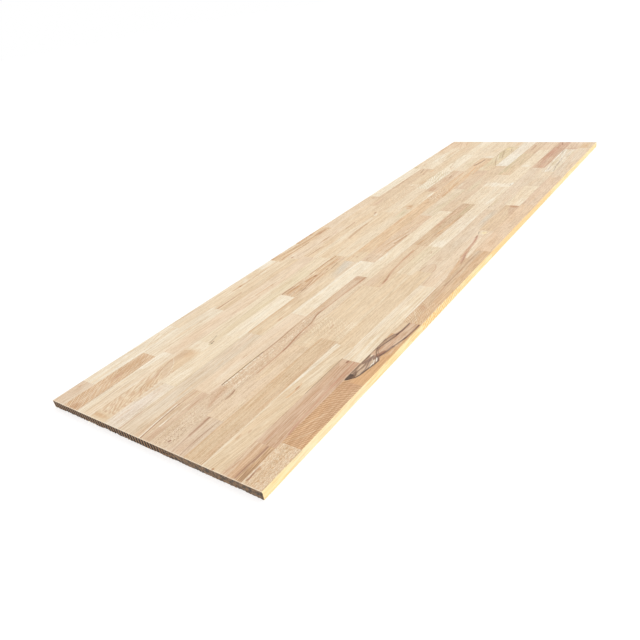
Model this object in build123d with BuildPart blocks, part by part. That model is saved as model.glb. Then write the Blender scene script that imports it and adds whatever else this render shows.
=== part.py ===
from build123d import *
import os
from itertools import cycle
from math import ceil

# Edge-glued panel of solid wood: short staves butted end to end in rows, and the rows
# glued edge to edge, then planed, cut to size and eased along its arrises.
# The origin is under the middle of the panel, +X runs along the grain towards the far end,
# and +Z rises out of the show face.

# Finished panel, mm
panel_length = 2000
panel_width = 600
panel_thickness = 18

# Staves, mm
stave_width = 46.5
glue_line = 0.12
narrowest_row = 12  # a thinner rest is left on the row before it
shortest_stave = 25  # a shorter rest is left on the stave before it

# Left on every outer side of the glued blank, and taken off when it is finished, mm
end_waste = 15
edge_waste = 5
planed_off = 1.5

# Arrises of the finished panel, mm
long_arris_radius = 1.0
end_arris_chamfer = 0.5

# Stave lengths along each row, mm, from the near end. The rows are laid from the edge at -Y,
# and a row's first stave is what the near cut leaves of it.
row_lengths = [
    [106, 436, 400, 358, 285, 333, 390],
    [89, 276, 346, 365, 208, 186, 152, 280, 350],
    [409, 373, 454, 428, 420],
    [417, 339, 178, 248, 262, 224, 219, 310],
    [104, 270, 295, 263, 343, 296, 265, 330],
    [190, 521, 127, 360, 477, 400],
    [156, 330, 310, 354, 255, 209, 314, 300],
    [375, 410, 491, 494, 155, 420],
    [146, 200, 210, 252, 380, 177, 235, 210, 290],
    [303, 482, 367, 240, 416, 350],
    [235, 541, 376, 288, 355, 330],
    [212, 225, 318, 445, 415, 450],
    [77, 251, 397, 265, 297, 326, 440],
]

near_end = -panel_length / 2
far_end = panel_length / 2
first_edge = -panel_width / 2
last_edge = panel_width / 2
row_count = max(1, ceil((panel_width - narrowest_row) / stave_width))

os.makedirs("parts", exist_ok=True)


def stave_joints(lengths):
    # Where a row's staves begin and end, from the rough near end to the rough far end
    joints = [near_end - end_waste]
    reached = near_end
    for length in cycle(lengths):
        reached += length
        if reached > far_end - shortest_stave:
            joints.append(far_end + end_waste)
            return joints
        joints.append(reached)


def row_edges(row):
    # The two long edges of a row, with the waste on the first and the last row
    low = first_edge + row * stave_width
    high = low + stave_width
    if row == 0:
        low -= edge_waste
    if row == row_count - 1:
        high = last_edge + edge_waste
    return low, high


# What planing, cutting to size and easing leave of the glued blank
with BuildPart() as finished_form:
    with BuildSketch(Plane.XY):
        Rectangle(panel_length, panel_width)
    extrude(amount=panel_thickness)
    fillet(finished_form.edges().filter_by(Axis.X), radius=long_arris_radius)
    end_faces = finished_form.faces().filter_by(Axis.X)
    end_rims = [edge for face in end_faces for edge in face.edges().filter_by(Axis.Y)]
    chamfer(end_rims, length=end_arris_chamfer)

for row in range(row_count):
    low, high = row_edges(row)
    joints = stave_joints(row_lengths[row % len(row_lengths)])

    with BuildPart() as stave_row:
        with BuildSketch(Plane.XY.offset(-planed_off)):
            for start, end in zip(joints, joints[1:]):
                with Locations(((start + end) / 2, (low + high) / 2)):
                    Rectangle(end - start - glue_line, high - low - glue_line)
        extrude(amount=panel_thickness + 2 * planed_off)
        add(finished_form.part, mode=Mode.INTERSECT)

    name = f"stave_row_{row + 1:02d}"
    stave_row.part.label = name
    export_step(stave_row.part, f"parts/{name}.step")
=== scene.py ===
import random
from math import cos, radians, sin, tau

import bmesh
import bpy
from mathutils import Matrix, Vector, noise


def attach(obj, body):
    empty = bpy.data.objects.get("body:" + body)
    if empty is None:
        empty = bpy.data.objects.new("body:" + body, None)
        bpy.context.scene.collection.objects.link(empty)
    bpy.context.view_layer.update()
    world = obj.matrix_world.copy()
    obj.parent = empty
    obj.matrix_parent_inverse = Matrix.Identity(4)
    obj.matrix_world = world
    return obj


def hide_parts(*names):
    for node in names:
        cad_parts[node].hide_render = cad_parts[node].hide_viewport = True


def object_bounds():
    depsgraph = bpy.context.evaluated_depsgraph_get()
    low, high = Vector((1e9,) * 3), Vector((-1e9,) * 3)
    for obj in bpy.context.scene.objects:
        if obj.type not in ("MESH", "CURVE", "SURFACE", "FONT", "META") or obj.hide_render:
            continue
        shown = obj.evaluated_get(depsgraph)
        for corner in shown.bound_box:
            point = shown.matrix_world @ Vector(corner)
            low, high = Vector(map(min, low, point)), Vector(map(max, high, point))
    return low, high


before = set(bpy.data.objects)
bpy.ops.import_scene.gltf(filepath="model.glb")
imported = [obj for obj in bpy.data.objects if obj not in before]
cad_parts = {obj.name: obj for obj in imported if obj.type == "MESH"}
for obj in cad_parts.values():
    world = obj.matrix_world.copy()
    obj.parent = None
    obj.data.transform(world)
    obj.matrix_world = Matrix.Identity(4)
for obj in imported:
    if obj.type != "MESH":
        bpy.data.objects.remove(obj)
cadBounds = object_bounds()
print("frame loaded:", len(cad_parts), "rows of staves")

perMetre = 1000  # the looks are worked out in mm
panel = {"toEnd": 1000, "toLongEdge": 300, "thickness": 18, "staveWidth": 46.5}

# Wood tones of the raw panel, as the eye reads them (0 to 255)
woodTones = {
    "chalk": (250, 243, 228),
    "ivory": (246, 234, 213),
    "milk": (243, 228, 203),
    "cream": (240, 222, 194),
    "linen": (236, 219, 196),
    "oat": (237, 217, 188),
    "peach": (236, 213, 185),
    "wheat": (235, 211, 178),
    "biscuit": (232, 208, 175),
    "sand": (230, 209, 182),
    "rose": (231, 205, 177),
    "tan": (229, 203, 170),
    "fawn": (225, 199, 169),
    "honey": (222, 195, 161),
    "clay": (219, 191, 162),
    "russet": (214, 181, 152),
    "toffee": (210, 168, 126),
    "amber": (226, 180, 132),
    "sienna": (196, 150, 116),
    "brick": (200, 150, 126),
    "chestnut": (160, 114, 90),
    "maroon": (138, 94, 78),
    "umber": (122, 92, 70),
    "char": (74, 56, 48),
    "olive": (208, 190, 150),
    "moss": (224, 205, 168),
    "greige": (228, 209, 184),
    "slate": (214, 207, 194),
    "lilac": (232, 216, 204),
    "plum": (108, 80, 72),
    "ash": (180, 151, 128),
    "bronze": (184, 134, 92),
    "blush": (234, 205, 173),
    "flax": (233, 215, 189),
    "shell": (226, 203, 177),
    "pearl": (240, 225, 201),
    "bone": (242, 230, 210),
    "ochre": (219, 190, 157),
    "butter": (253, 232, 180),
    "apricot": (248, 204, 140),
    "marigold": (238, 182, 108),
    "sawnDark": (12, 6, 3),
    "sawnPale": (160, 120, 82),
    "sawnGrey": (112, 98, 84),
    "splinterTip": (250, 236, 196),
}


def linear(name):  # a tone as the light of a finish
    def channel(value):
        value /= 255
        return value / 12.92 if value <= 0.04045 else ((value + 0.055) / 1.055) ** 2.4
    return tuple(channel(value) for value in woodTones[name])


class Wire:  # a value that runs between the nodes of a finish
    def __init__(self, finish, socket):
        self.finish = finish
        self.socket = socket

    def math(self, operation, *others):
        return self.finish.node("ShaderNodeMath", {"operation": operation}, (self, *others))[0]

    def __add__(self, other):
        return self.math("ADD", other)

    def __mul__(self, other):
        return self.math("MULTIPLY", other)

    def __sub__(self, other):
        return self.math("SUBTRACT", other)

    def __truediv__(self, other):
        return self.math("DIVIDE", other)

    def __rsub__(self, other):
        return self.finish.node("ShaderNodeMath", {"operation": "SUBTRACT"}, (other, self))[0]

    def __abs__(self):
        return self.math("ABSOLUTE")

    __radd__ = __add__
    __rmul__ = __mul__

    def ramp(self, start, end):  # 0 at start, 1 at end, smooth between
        settings = {"interpolation_type": "SMOOTHSTEP"}
        return self.finish.node("ShaderNodeMapRange", settings, (self, start, end, 0, 1))[0]

    def within(self, start, end, soft):  # 1 between start and end
        return self.ramp(start - soft, start + soft) * self.ramp(end + soft, end - soft)


class Finish:  # the nodes of a material or of a node group
    def __init__(self, tree):
        self.tree = tree
        tree.nodes.clear()

    def node(self, kind, settings=None, values=()):
        made = self.tree.nodes.new(kind)
        for key, value in (settings or {}).items():
            if key == "curve":
                bendCurve(made.mapping, value)
            else:
                setattr(made, key, value)
        shown = [socket for socket in made.inputs if socket.enabled]
        pairs = values.items() if isinstance(values, dict) else enumerate(values)
        for key, value in pairs:
            socket = made.inputs[key] if isinstance(key, str) else shown[key]
            if isinstance(value, Wire):
                self.tree.links.new(value.socket, socket)
            elif socket.type == "RGBA":
                socket.default_value = (*value, 1)
            else:
                socket.default_value = value
        return [Wire(self, socket) for socket in made.outputs if socket.enabled]

    def vector(self, operation, *values):
        return self.node("ShaderNodeVectorMath", {"operation": operation}, values)[0]

    def combine(self, *values):
        return self.node("ShaderNodeCombineXYZ", {}, values)[0]

    def mix(self, amount, first, second, blend="MIX"):
        settings = {"data_type": "RGBA", "blend_type": blend}
        return self.node("ShaderNodeMix", settings, (amount, first, second))[0]

    def noise(self, where, scale=1.0, detail=2.0, roughness=0.5):
        values = {"Vector": where, "Scale": scale, "Detail": detail, "Roughness": roughness}
        return self.node("ShaderNodeTexNoise", {}, values)[0]

    def cells(self, where):
        return self.node("ShaderNodeTexVoronoi", {}, {"Vector": where, "Scale": 1.0})[0]

    def follow(self, along, points):  # a value that follows the points over the length
        start, end = points[0][0], points[-1][0]
        low = min(value for _, value in points)
        span = max(max(value for _, value in points) - low, 0.5)
        curve = [((x - start) / (end - start), (value - low) / span) for x, value in points]
        part = (along - start) / (end - start)
        return self.node("ShaderNodeFloatCurve", {"curve": curve}, (1.0, part))[0] * span + low


def bendCurve(mapping, points):  # points of a Float Curve, 0 to 1 both ways
    curve = mapping.curves[0]
    for place in points[1:-1]:
        curve.points.new(*place)
    curve.points[0].location = points[0]
    curve.points[-1].location = points[-1]
    mapping.update()


def newMaterial(name):
    material = bpy.data.materials.new(name)
    material.use_nodes = True
    return material, Finish(material.node_tree)


def newGroup(name, inputs, outputs):
    tree = bpy.data.node_groups.new(name, "ShaderNodeTree")
    for way, sockets in (("INPUT", inputs), ("OUTPUT", outputs)):
        for label, kind in sockets.items():
            tree.interface.new_socket(name=label, in_out=way, socket_type="NodeSocket" + kind)
    finish = Finish(tree)
    given = dict(zip(inputs, finish.node("NodeGroupInput")))
    return finish, given


grain = {  # lengths and widths are mm
    "wander": 5.0,  # how far the grain strays sideways
    "wanderLength": 260.0,
    "wanderAcross": 0.012,  # waves to the mm
    "lineLength": 60.0,
    "lineWidth": 2.6,
    "threadLength": 90.0,
    "threadWidth": 5.0,
    "threadFar": 0.6,  # the far part of the panel shows its threads more
    "threadFrom": 1100,
    "threadTo": 1600,
    "hairLength": 22.0,
    "hairWidth": 0.6,
    "speckLength": 4.0,
    "speckWidth": 1.7,
    "mottleLength": 9.0,
    "mottleWidth": 3.6,
    "mottleNear": 0.45,
    "mottleFar": 1.9,
    "mottleFrom": 100,
    "mottleTo": 1700,
    "blotchLength": 110,
    "blotchWidth": 26,
    "warmLength": 160,
    "warmWidth": 18,
    "fleckLength": 3.4,
    "fleckWidth": 0.8,
    "fleckTone": "chestnut",
    "fleckShare": 0.45,
    "lineShare": 0.55,  # how strong each part of the grain is
    "ringShare": 0.22,
    "speckShare": 0.9,
    "threadShare": 0.35,
    "hairShare": 0.35,
    "blotchShare": 0.5,
    "warmShare": 0.5,
    "mean": 0.27,
    "light": (1.044, 1.068, 1.093),
    "dark": (0.777, 0.725, 0.656),
    "warm": (1.0, 0.955, 0.90),
    "ringAngles": (80, 65, 100, 35, 145, 10, 170),  # how the staves were sawn from the tree
    "ringTurn": 8,
    "ringPitch": (2.4, 4.6),
    "pithAway": (45, 110),
    "slope": 0.012,
    "dip": 0.03,
    "lean": 0.4,
    "seedReach": 80,
}


def makeGrain():
    # Beech: growth rings, long fibres, short flecks. Lengths are mm; place is along the panel
    # from the near end, across from the row's upper edge, and down from the show face.
    finish, given = newGroup("beechGrain", {
        "Corner": "Vector", "Seed": "Vector", "Pith": "Vector", "Middle": "Float", "Slope": "Float",
        "Dip": "Float", "Lean": "Float", "Ring Scale": "Float", "Rings": "Float", "Lines": "Float",
        "Specks": "Float",
    }, {"Shade": "Color", "Place": "Vector", "Straight": "Float", "Fibre": "Float", "Ring": "Float",
        "Fine": "Float", "Blotch": "Float", "Flecks": "Float"})
    coordinates = finish.node("ShaderNodeTexCoord")[3]
    place = finish.vector("MULTIPLY_ADD", coordinates, (perMetre, -perMetre, -perMetre), given["Corner"])
    along, across, depth = finish.node("ShaderNodeSeparateXYZ", {}, (place,))
    seed = given["Seed"]
    strayScale = (1 / grain["wanderLength"], grain["wanderAcross"], grain["wanderAcross"])
    strayAt = finish.vector("MULTIPLY_ADD", place, strayScale, seed)
    stray = finish.noise(strayAt, 1.0, 1.0)
    straight = across + (stray - 0.5) * grain["wander"] + depth * given["Lean"]
    lengthwise = along - given["Middle"]
    side = straight + lengthwise * given["Slope"]
    down = depth + lengthwise * given["Dip"]

    def fibres(length, width, detail, shift):
        where = finish.combine(along / length, side / width, down / width)
        return finish.noise(finish.vector("ADD", where, finish.vector("MULTIPLY", seed, shift)), 1.0,
                            detail, 0.6)

    ringsAt = finish.vector("SUBTRACT", finish.combine(along / 20, side, down), given["Pith"])
    settings = {"wave_type": "RINGS", "rings_direction": "X", "wave_profile": "SAW"}
    rings = finish.node("ShaderNodeTexWave", settings, {
        "Vector": ringsAt, "Scale": given["Ring Scale"], "Distortion": 5.0, "Detail": 1.0,
        "Detail Scale": 0.25})[1]
    lines = fibres(grain["lineLength"], grain["lineWidth"], 2.0, (7, 7, 7))
    hair = fibres(grain["hairLength"], grain["hairWidth"], 1.0, (3, 5, 2))
    specks = fibres(grain["speckLength"], grain["speckWidth"], 1.0, (5, 3, 6))
    mottle = fibres(grain["mottleLength"], grain["mottleWidth"], 1.0, (8, 4, 3))
    threads = fibres(grain["threadLength"], grain["threadWidth"], 1.0, (4, 8, 5))
    blotch = fibres(grain["blotchLength"], grain["blotchWidth"], 1.0, (2, 9, 4))
    warmth = fibres(grain["warmLength"], grain["warmWidth"], 1.0, (6, 2, 8))
    crisp = lines.ramp(0.36, 0.64)
    thin = abs(threads - 0.5).ramp(0.05, 0.0)
    far = along.ramp(grain["mottleFrom"], grain["mottleTo"])
    coarse = far * (grain["mottleFar"] - grain["mottleNear"]) + grain["mottleNear"]
    amount = (crisp - 0.5 + thin * grain["threadShare"]) * given["Lines"] + (rings - 0.45) * given["Rings"]
    amount = amount + (specks - 0.5) * given["Specks"] + (mottle - 0.5) * coarse
    amount = amount + (hair - 0.5) * grain["hairShare"] + (blotch - 0.5) * grain["blotchShare"]
    far = along.ramp(grain["threadFrom"], grain["threadTo"])
    amount = amount + (threads - 0.5) * far * grain["threadFar"]
    shade = finish.mix(amount + grain["mean"], grain["light"], grain["dark"])
    warmed = warmth.ramp(0.42, 0.62) * grain["warmShare"]
    shade = finish.mix(warmed, shade, grain["warm"], "MULTIPLY")

    fleckSize = (1 / grain["fleckLength"], 1 / grain["fleckWidth"], 1 / grain["fleckWidth"])
    fleckAt = finish.vector("MULTIPLY_ADD", place, fleckSize, seed)
    flecks = finish.cells(fleckAt).ramp(0.38, 0.12)
    outputs = (shade, place, straight, lines, rings, hair - flecks * 0.15, blotch, flecks)
    finish.node("NodeGroupOutput", {}, outputs)
    return finish.tree


# Marks in a stave. Places are mm: along from the near end, across from the row's upper edge.
def streak(points, width, tone, strength, ragged=1.0, broken=0):  # a line through the points
    return {"kind": "streak", "points": points, "width": width, "tone": tone, "strength": strength,
            "ragged": ragged, "broken": broken}


def patch(along, across, reach, width, tone, strength, tilt=0.0):  # a soft spot
    return {"kind": "patch", "at": (along, across), "size": (reach, width), "tone": tone,
            "strength": strength, "tilt": tilt, "soft": (1.35, 0.35)}


def knot(along, across, reach, width, tone, strength):  # a small spot with a clear edge
    return {"kind": "patch", "at": (along, across), "size": (reach, width), "tone": tone,
            "strength": strength, "tilt": 0.0, "soft": (1.15, 0.6)}


def seamOrHighlight(start, end, across, tone, strength, width=1.1):  # beside a glue line, or painted highlight along an outer arris
    return {"kind": "seamOrHighlight", "span": (start, end), "across": across, "tone": tone, "strength": strength,
            "width": width}


def fill(upper, lower, tone, strength):  # all between two lines along the stave
    return {"kind": "fill", "upper": upper, "lower": lower, "tone": tone, "strength": strength}


# Lines that cross the stave: rise is how far they run on from top to bottom, and fan what it gains
def figure(start, end, pitch, tone, strength, rise, power=1.0, fan=0.0, pale="milk", light=0.4, rough=1.0):
    return {"kind": "figure", "span": (start, end), "pitch": pitch, "tone": tone, "strength": strength,
            "rise": rise, "power": power, "fan": fan, "pale": pale, "light": light, "rough": rough}


# Lines along the stave, each about reach times the pitch long
def lines(start, end, pitch, tone, strength, slope=0.0, pale="milk", light=0.3, low=-9, high=60, reach=28):
    return {"kind": "lines", "span": (start, end), "pitch": pitch, "tone": tone, "strength": strength,
            "slope": slope, "pale": pale, "light": light, "sides": (low, high), "reach": reach}


def dashes(start, end, low, high, tone, strength, size, share):  # short flecks along the stave
    return {"kind": "dashes", "span": (start, end), "sides": (low, high), "tone": tone,
            "strength": strength, "size": size, "share": share}


def turn(start, end, tone, strength):  # the tone goes over to another along the stave
    return {"kind": "turn", "span": (start, end), "tone": tone, "strength": strength}


def band(low, high, tone, strength):  # part of the stave's width has another tone
    return {"kind": "band", "sides": (low, high), "tone": tone, "strength": strength}


def stave(tone, *marks, flecks=0.2, rings=1.0, grainLines=1.0, specks=1.0, slope=None):
    return {"tone": tone, "marks": marks, "flecks": flecks, "rings": rings, "lines": grainLines,
            "specks": specks, "slope": slope}


# What shows on each row's staves, from the near end. Row 1 lies along the yellow long edge.
rowLooks = {
    "stave_row_01": [
        stave("tan", lines(0, 106, 1.7, "toffee", 0.7, 0.04, "cream", 0.6, reach=4),
              dashes(0, 106, 0, 47, "ivory", 0.5, (5, 1.6), 0.3),
              dashes(0, 106, 0, 47, "sienna", 0.5, (4.4, 1.4), 0.28),
              streak([(8, 6.5), (20, 6.2), (35, 4.5)], 2.6, "chestnut", 1.0, 0.4),
              patch(38, 6, 7, 4, "sienna", 0.7), streak([(0, 3), (50, 3)], 2, "ivory", 0.5),
              # Painted highlight: a pale butter line along the lit arris of the long edge
              seamOrHighlight(0, 106, 45.6, "butter", 0.5), flecks=0.9, specks=2.4, slope=1),
        # Slanting lines, then the dark lobed figure that a fungus leaves
        stave("toffee", patch(180, 8, 60, 12, "amber", 0.5), patch(130, 40, 40, 10, "amber", 0.5),
              figure(106, 306, 7.6, "sienna", 0.75, -62, 1.0, 18, "wheat", 0.4, 0.3),
              streak([(108, 6), (122, 16), (140, 28), (168, 42)], 2.0, "wheat", 0.4),
              streak([(150, 0), (168, 12), (200, 26)], 2.0, "wheat", 0.4),
              patch(296, 24, 20, 14, "sienna", 0.4),
              fill([(300, 12), (345, 24), (385, 29), (400, 22), (440, 31), (480, 38), (541, 41)],
                   [(300, 60), (541, 60)], "amber", 0.6),
              fill([(303, -6), (404, -6)],
                   [(303, 3), (312, 10), (322, 17), (335, 20.5), (360, 24.5), (388, 28), (404, 14)], "ash",
                   0.95),
              patch(341, 15.5, 20, 4.5, "clay", 0.9, 0.1), patch(354, 5.5, 14, 3, "clay", 0.9),
              patch(376, 20, 20, 4, "clay", 0.6, -0.3),
              fill([(303, -6), (326, -6)], [(303, 3), (310, 9), (318, 12), (326, 5)], "char", 0.85),
              streak([(312, 9), (322, 11), (332, 8), (342, 2)], 3.2, "umber", 0.8, 1.4),
              streak([(318, 3), (326, 6), (336, 5)], 3.4, "char", 0.7, 1.6),
              streak([(316, 14), (328, 11), (338, 8.5), (350, 9.5), (362, 10), (372, 6)], 1.4, "umber", 0.9,
                     0.5),
              streak([(334, 17), (346, 19), (358, 17), (372, 13), (384, 10)], 1.3, "plum", 0.7, 0.6),
              streak([(330, 0.6), (352, 0.6), (372, 1), (392, 2)], 2.0, "umber", 0.9, 0.5),
              streak([(344, 3), (354, 2.4), (366, 3.4)], 1.2, "umber", 0.6, 0.6),
              fill([(364, 1), (380, 5), (392, 11), (404, 15)], [(364, 7), (380, 14), (392, 21), (404, 23)],
                   "plum", 0.5),
              streak([(356, 25), (365, 22.6), (375, 21.5)], 1.4, "chalk", 1.0, 0.3),
              streak([(371, 25), (386, 18.5)], 1.3, "chalk", 0.9, 0.3),
              streak([(382, 26), (395, 19.5)], 1.4, "chalk", 1.0, 0.3),
              streak([(376, 19), (388, 13)], 1.1, "wheat", 0.8, 0.3),
              streak([(304, 3), (312, 10), (322, 17), (335, 20.5), (345, 22), (360, 24.5), (375, 27),
                      (388, 28)], 2.4, "char", 0.9, 0.4),
              streak([(384, 28.5), (391, 26), (397, 20), (402, 12)], 2.4, "plum", 0.95, 0.4),
              patch(400, 5, 7, 2.8, "cream", 0.95),
              streak([(384, 5), (391, 9), (400, 9.5), (410, 7)], 2.0, "plum", 0.95, 0.5),
              streak([(390, 0), (398, 1.5), (408, 3), (412, 8)], 2.0, "umber", 0.9, 0.5),
              fill([(400, -6), (541, -6)],
                   [(400, 19), (412, 24), (425, 26.5), (440, 29), (455, 32), (470, 35), (495, 38.5),
                    (541, 40)], "russet", 0.95),
              patch(428, 10, 16, 5, "sienna", 0.6, -0.3), patch(500, 29, 50, 6, "fawn", 0.7, 0.1),
              lines(404, 541, 3.4, "sienna", 0.6, -0.1, "rose", 0.5, 4, 40, 12),
              fill([(400, 10), (412, 15), (424, 20)], [(400, 22), (412, 25), (424, 26)], "chestnut", 0.75),
              fill([(488, -6), (541, -6)], [(488, 3), (500, 11), (510, 14), (541, 15)], "tan", 0.95),
              fill([(446, -6), (490, -6)], [(446, -3), (460, 0), (474, 3), (490, 7)], "toffee", 0.8),
              fill([(414, -6), (444, -6), (456, -1), (472, 3), (492, 9)],
                   [(414, 1), (440, 6), (460, 10.5), (480, 14), (492, 15)], "umber", 0.42),
              streak([(398, 18), (406, 12), (414, 7), (428, 2)], 2.6, "umber", 0.85, 0.7),
              streak([(406, 20), (412, 13), (420, 8), (432, 6)], 1.4, "plum", 0.7, 0.6),
              streak([(424, 3), (440, 6), (462, 10.5), (480, 14), (494, 15)], 2.2, "plum", 0.9, 0.6),
              streak([(444, -2), (456, 0), (472, 3.5), (488, 8)], 1.6, "plum", 0.8, 0.6),
              streak([(486, 12), (500, 15), (520, 16.5), (541, 17)], 3.0, "plum", 0.95, 0.4),
              streak([(400, 19), (408, 23), (418, 25.5), (430, 27.5), (446, 30)], 4.4, "plum", 0.95, 0.9),
              streak([(440, 29), (455, 32), (470, 35), (486, 37.5)], 2.6, "plum", 0.9, 0.6),
              streak([(474, 36.5), (495, 38.5), (510, 39.5), (541, 40)], 2.6, "plum", 0.95, 0.4),
              # Painted highlight: a pale butter line along the lit arris of the long edge
              seamOrHighlight(106, 541, 45.6, "butter", 0.6), flecks=0.1, specks=1.3),
        stave("ochre", band(24, 50, "amber", 0.3),
              figure(542, 640, 6.4, "toffee", 0.55, 62, 0.8, 0, "cream", 0.5, 0.6),
              streak([(546, 34), (570, 16), (596, 0)], 2.2, "cream", 0.6, 1.4),
              patch(612, 13, 15, 9, "sienna", 0.45, -0.7),
              lines(640, 942, 3.0, "toffee", 0.5, 0.01, "wheat", 0.5),
              streak([(640, 19), (700, 17), (730, 13)], 2, "sienna", 0.6, 1.2),
              streak([(726, 12), (780, 13), (840, 13), (900, 12), (942, 14)], 2.2, "chestnut", 0.6, 1.2),
              # Painted highlight: a pale butter line along the lit arris of the long edge
              patch(925, 10, 20, 8, "greige", 0.5), seamOrHighlight(542, 942, 45.6, "butter", 0.5)),
        stave("blush", lines(942, 1300, 3.6, "amber", 0.35, 0.06, "peach", 0.5),
              figure(1060, 1300, 16, "tan", 0.5, 60, 1, 0, "peach", 0.4),
              seamOrHighlight(942, 1300, 0.8, "toffee", 0.3), turn(942, 962, "rose", 0.3)),
        stave("rose", band(-5, 10, "russet", 0.4), turn(1530, 1548, "greige", 0.35),
              lines(1300, 1585, 3.6, "blush", 0.6, 0.05, "linen", 0.3),
              patch(1556, 32, 28, 10, "clay", 0.7), patch(1574, 14, 14, 10, "linen", 0.6)),
        stave("sand",
              fill([(1585, -5), (1650, -5), (1760, 8)], [(1585, 18), (1650, 30), (1760, 34)], "greige",
                   0.7),
              streak([(1600, 14), (1640, 30), (1680, 42)], 3, "clay", 0.5),
              patch(1720, 34, 60, 9, "blush", 0.6), turn(1840, 1880, "cream", 0.5),
              patch(1890, 42, 30, 6, "honey", 0.6), lines(1585, 1918, 5, "rose", 0.5, 0.1, "linen", 0.5)),
        stave("tan", band(-5, 16, "tan", 0.35), streak([(1918, 9), (1994, 7)], 3, "amber", 0.6),
              patch(1950, 20, 30, 8, "amber", 0.4)),
    ],
    "stave_row_02": [
        stave("clay", band(-5, 12, "fawn", 0.8), band(13, 28, "amber", 0.3), band(33, 60, "toffee", 0.85),
              streak([(3, 5), (20, 7), (40, 9)], 1.5, "sienna", 0.6, 0.8),
              streak([(18, 9), (50, 11), (89, 13)], 1.5, "sienna", 0.6, 0.8),
              streak([(3, 26), (89, 28)], 3, "sienna", 0.5, 1.2),
              streak([(3, 29.5), (30, 29.5), (60, 31), (89, 31)], 2.6, "chestnut", 0.8, 1.0),
              lines(0, 89, 2.2, "umber", 0.6, 0.06, "wheat", 0.6, 33, 50),
              patch(14, 42, 20, 4, "umber", 0.35),
              lines(0, 89, 2.4, "sienna", 0.4, -0.04, "peach", 0.5, -9, 28), specks=1.3),
        stave("russet", lines(89, 365, 2.4, "sienna", 0.6, 0.02, "fawn", 0.5), band(-5, 14, "fawn", 0.35),
              streak([(100, 36), (140, 32), (200, 30), (260, 27)], 2.0, "rose", 0.6),
              streak([(125, 46), (170, 40), (250, 36), (330, 33), (364, 32)], 2.0, "brick", 0.85, 0.8),
              streak([(190, 46), (260, 43), (364, 40)], 1.6, "brick", 0.6),
              streak([(89, 14), (150, 12), (260, 11), (340, 10)], 1.6, "sienna", 0.6, 1.4),
              streak([(300, 22), (364, 21)], 1.6, "sienna", 0.6),
              streak([(160, 44), (260, 45), (320, 43)], 2.4, "rose", 0.6),
              knot(359, 17, 6, 2.6, "chestnut", 0.85), seamOrHighlight(305, 365, 46, "char", 0.8)),
        stave("cream", lines(365, 711, 4, "wheat", 0.7, 0.0, "ivory", 0.6),
              seamOrHighlight(365, 466, 46, "umber", 0.9),
              streak([(365, 17), (440, 18), (560, 19)], 1.8, "biscuit", 0.7), band(-5, 12, "linen", 0.4),
              seamOrHighlight(466, 560, 46, "honey", 0.6), seamOrHighlight(556, 711, 46, "sienna", 0.8),
              seamOrHighlight(556, 711, 43, "chalk", 0.8)),
        stave("peach", patch(740, 12, 40, 20, "rose", 0.5), seamOrHighlight(711, 780, 46, "sienna", 0.6),
              fill([(770, 44), (800, 38), (850, 33), (900, 24), (960, 20)],
                   [(770, 60), (850, 60), (900, 40), (960, 28)], "toffee", 0.5),
              streak([(717, 6), (745, 4)], 2, "russet", 0.7),
              streak([(790, 44), (830, 40), (870, 32)], 3, "toffee", 0.7),
              streak([(850, 45), (885, 37), (905, 32), (960, 25), (1000, 20), (1036, 12)], 4.6, "brick",
                     0.9, 1.0),
              streak([(854, 45), (880, 40), (908, 33)], 2.2, "chestnut", 0.85, 0.8),
              streak([(885, 28), (920, 26), (960, 22)], 2, "sienna", 0.6),
              streak([(890, 44), (940, 36), (1030, 28)], 3.4, "milk", 0.7),
              streak([(960, 7), (1000, 6)], 3, "honey", 0.4), lines(711, 1000, 4, "tan", 0.5),
              patch(1058, 17, 18, 16, "cream", 0.95), patch(1060, 24, 10, 8, "butter", 0.6),
              streak([(1046, 12), (1056, 8), (1064, 6)], 2.2, "umber", 0.8, 0.5),
              streak([(1018, 13), (1036, 12)], 3.4, "chestnut", 0.7)),
        stave("tan", lines(1076, 1284, 3.4, "clay", 0.6, 0.06, "wheat", 0.4),
              patch(1160, 22, 40, 5, "wheat", 0.6, -0.2),
              fill([(1200, 44), (1240, 26), (1284, 16)], [(1200, 60), (1284, 60)], "russet", 0.6),
              patch(1276, 32, 10, 16, "sienna", 0.85), streak([(1080, 26), (1160, 18)], 3, "clay", 0.6)),
        stave("cream", lines(1284, 1470, 4, "wheat", 0.7, -0.06, "ivory", 0.5), band(-5, 3, "moss", 0.5),
              streak([(1290, 40), (1460, 41)], 3, "milk", 0.7), patch(1430, 20, 40, 14, "oat", 0.6)),
        stave("sand", turn(1550, 1600, "oat", 0.7),
              figure(1480, 1600, 16, "tan", 0.5, -60, 1, 0, "milk", 0.4, 0.6),
              patch(1520, 12, 30, 9, "tan", 0.5, 0.3)),
        stave("linen", streak([(1630, 42), (1665, 37), (1690, 32)], 2.6, "umber", 0.5, 0.8),
              streak([(1692, 33), (1740, 30), (1788, 25)], 2.8, "umber", 0.65, 0.8),
              streak([(1640, 20), (1720, 12), (1790, 9)], 2.2, "umber", 0.35),
              streak([(1626, 10), (1660, 8)], 2.4, "moss", 0.6),
              streak([(1800, 40), (1860, 34)], 2.4, "umber", 0.35),
              streak([(1845, 8), (1880, 2)], 3.4, "umber", 0.45),
              streak([(1650, 28), (1780, 18)], 2.4, "chalk", 0.9),
              streak([(1700, 42), (1800, 34)], 2.4, "chalk", 0.9),
              streak([(1800, 20), (1896, 14)], 3, "chalk", 0.7),
              lines(1622, 1902, 4, "moss", 0.7, 0.05, "chalk", 0.8)),
        stave("rose", patch(1908, 26, 9, 26, "brick", 0.5), lines(1902, 2000, 5, "russet", 0.6, 0.06),
              patch(1960, 16, 30, 8, "russet", 0.4)),
    ],
    "stave_row_03": [
        stave("biscuit", lines(0, 409, 2.6, "honey", 0.7, -0.16, "cream", 0.5, reach=24),
              lines(0, 250, 5, "tan", 0.5, -0.16, "wheat", 0.3, reach=18), band(-5, 4, "milk", 0.6),
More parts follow.
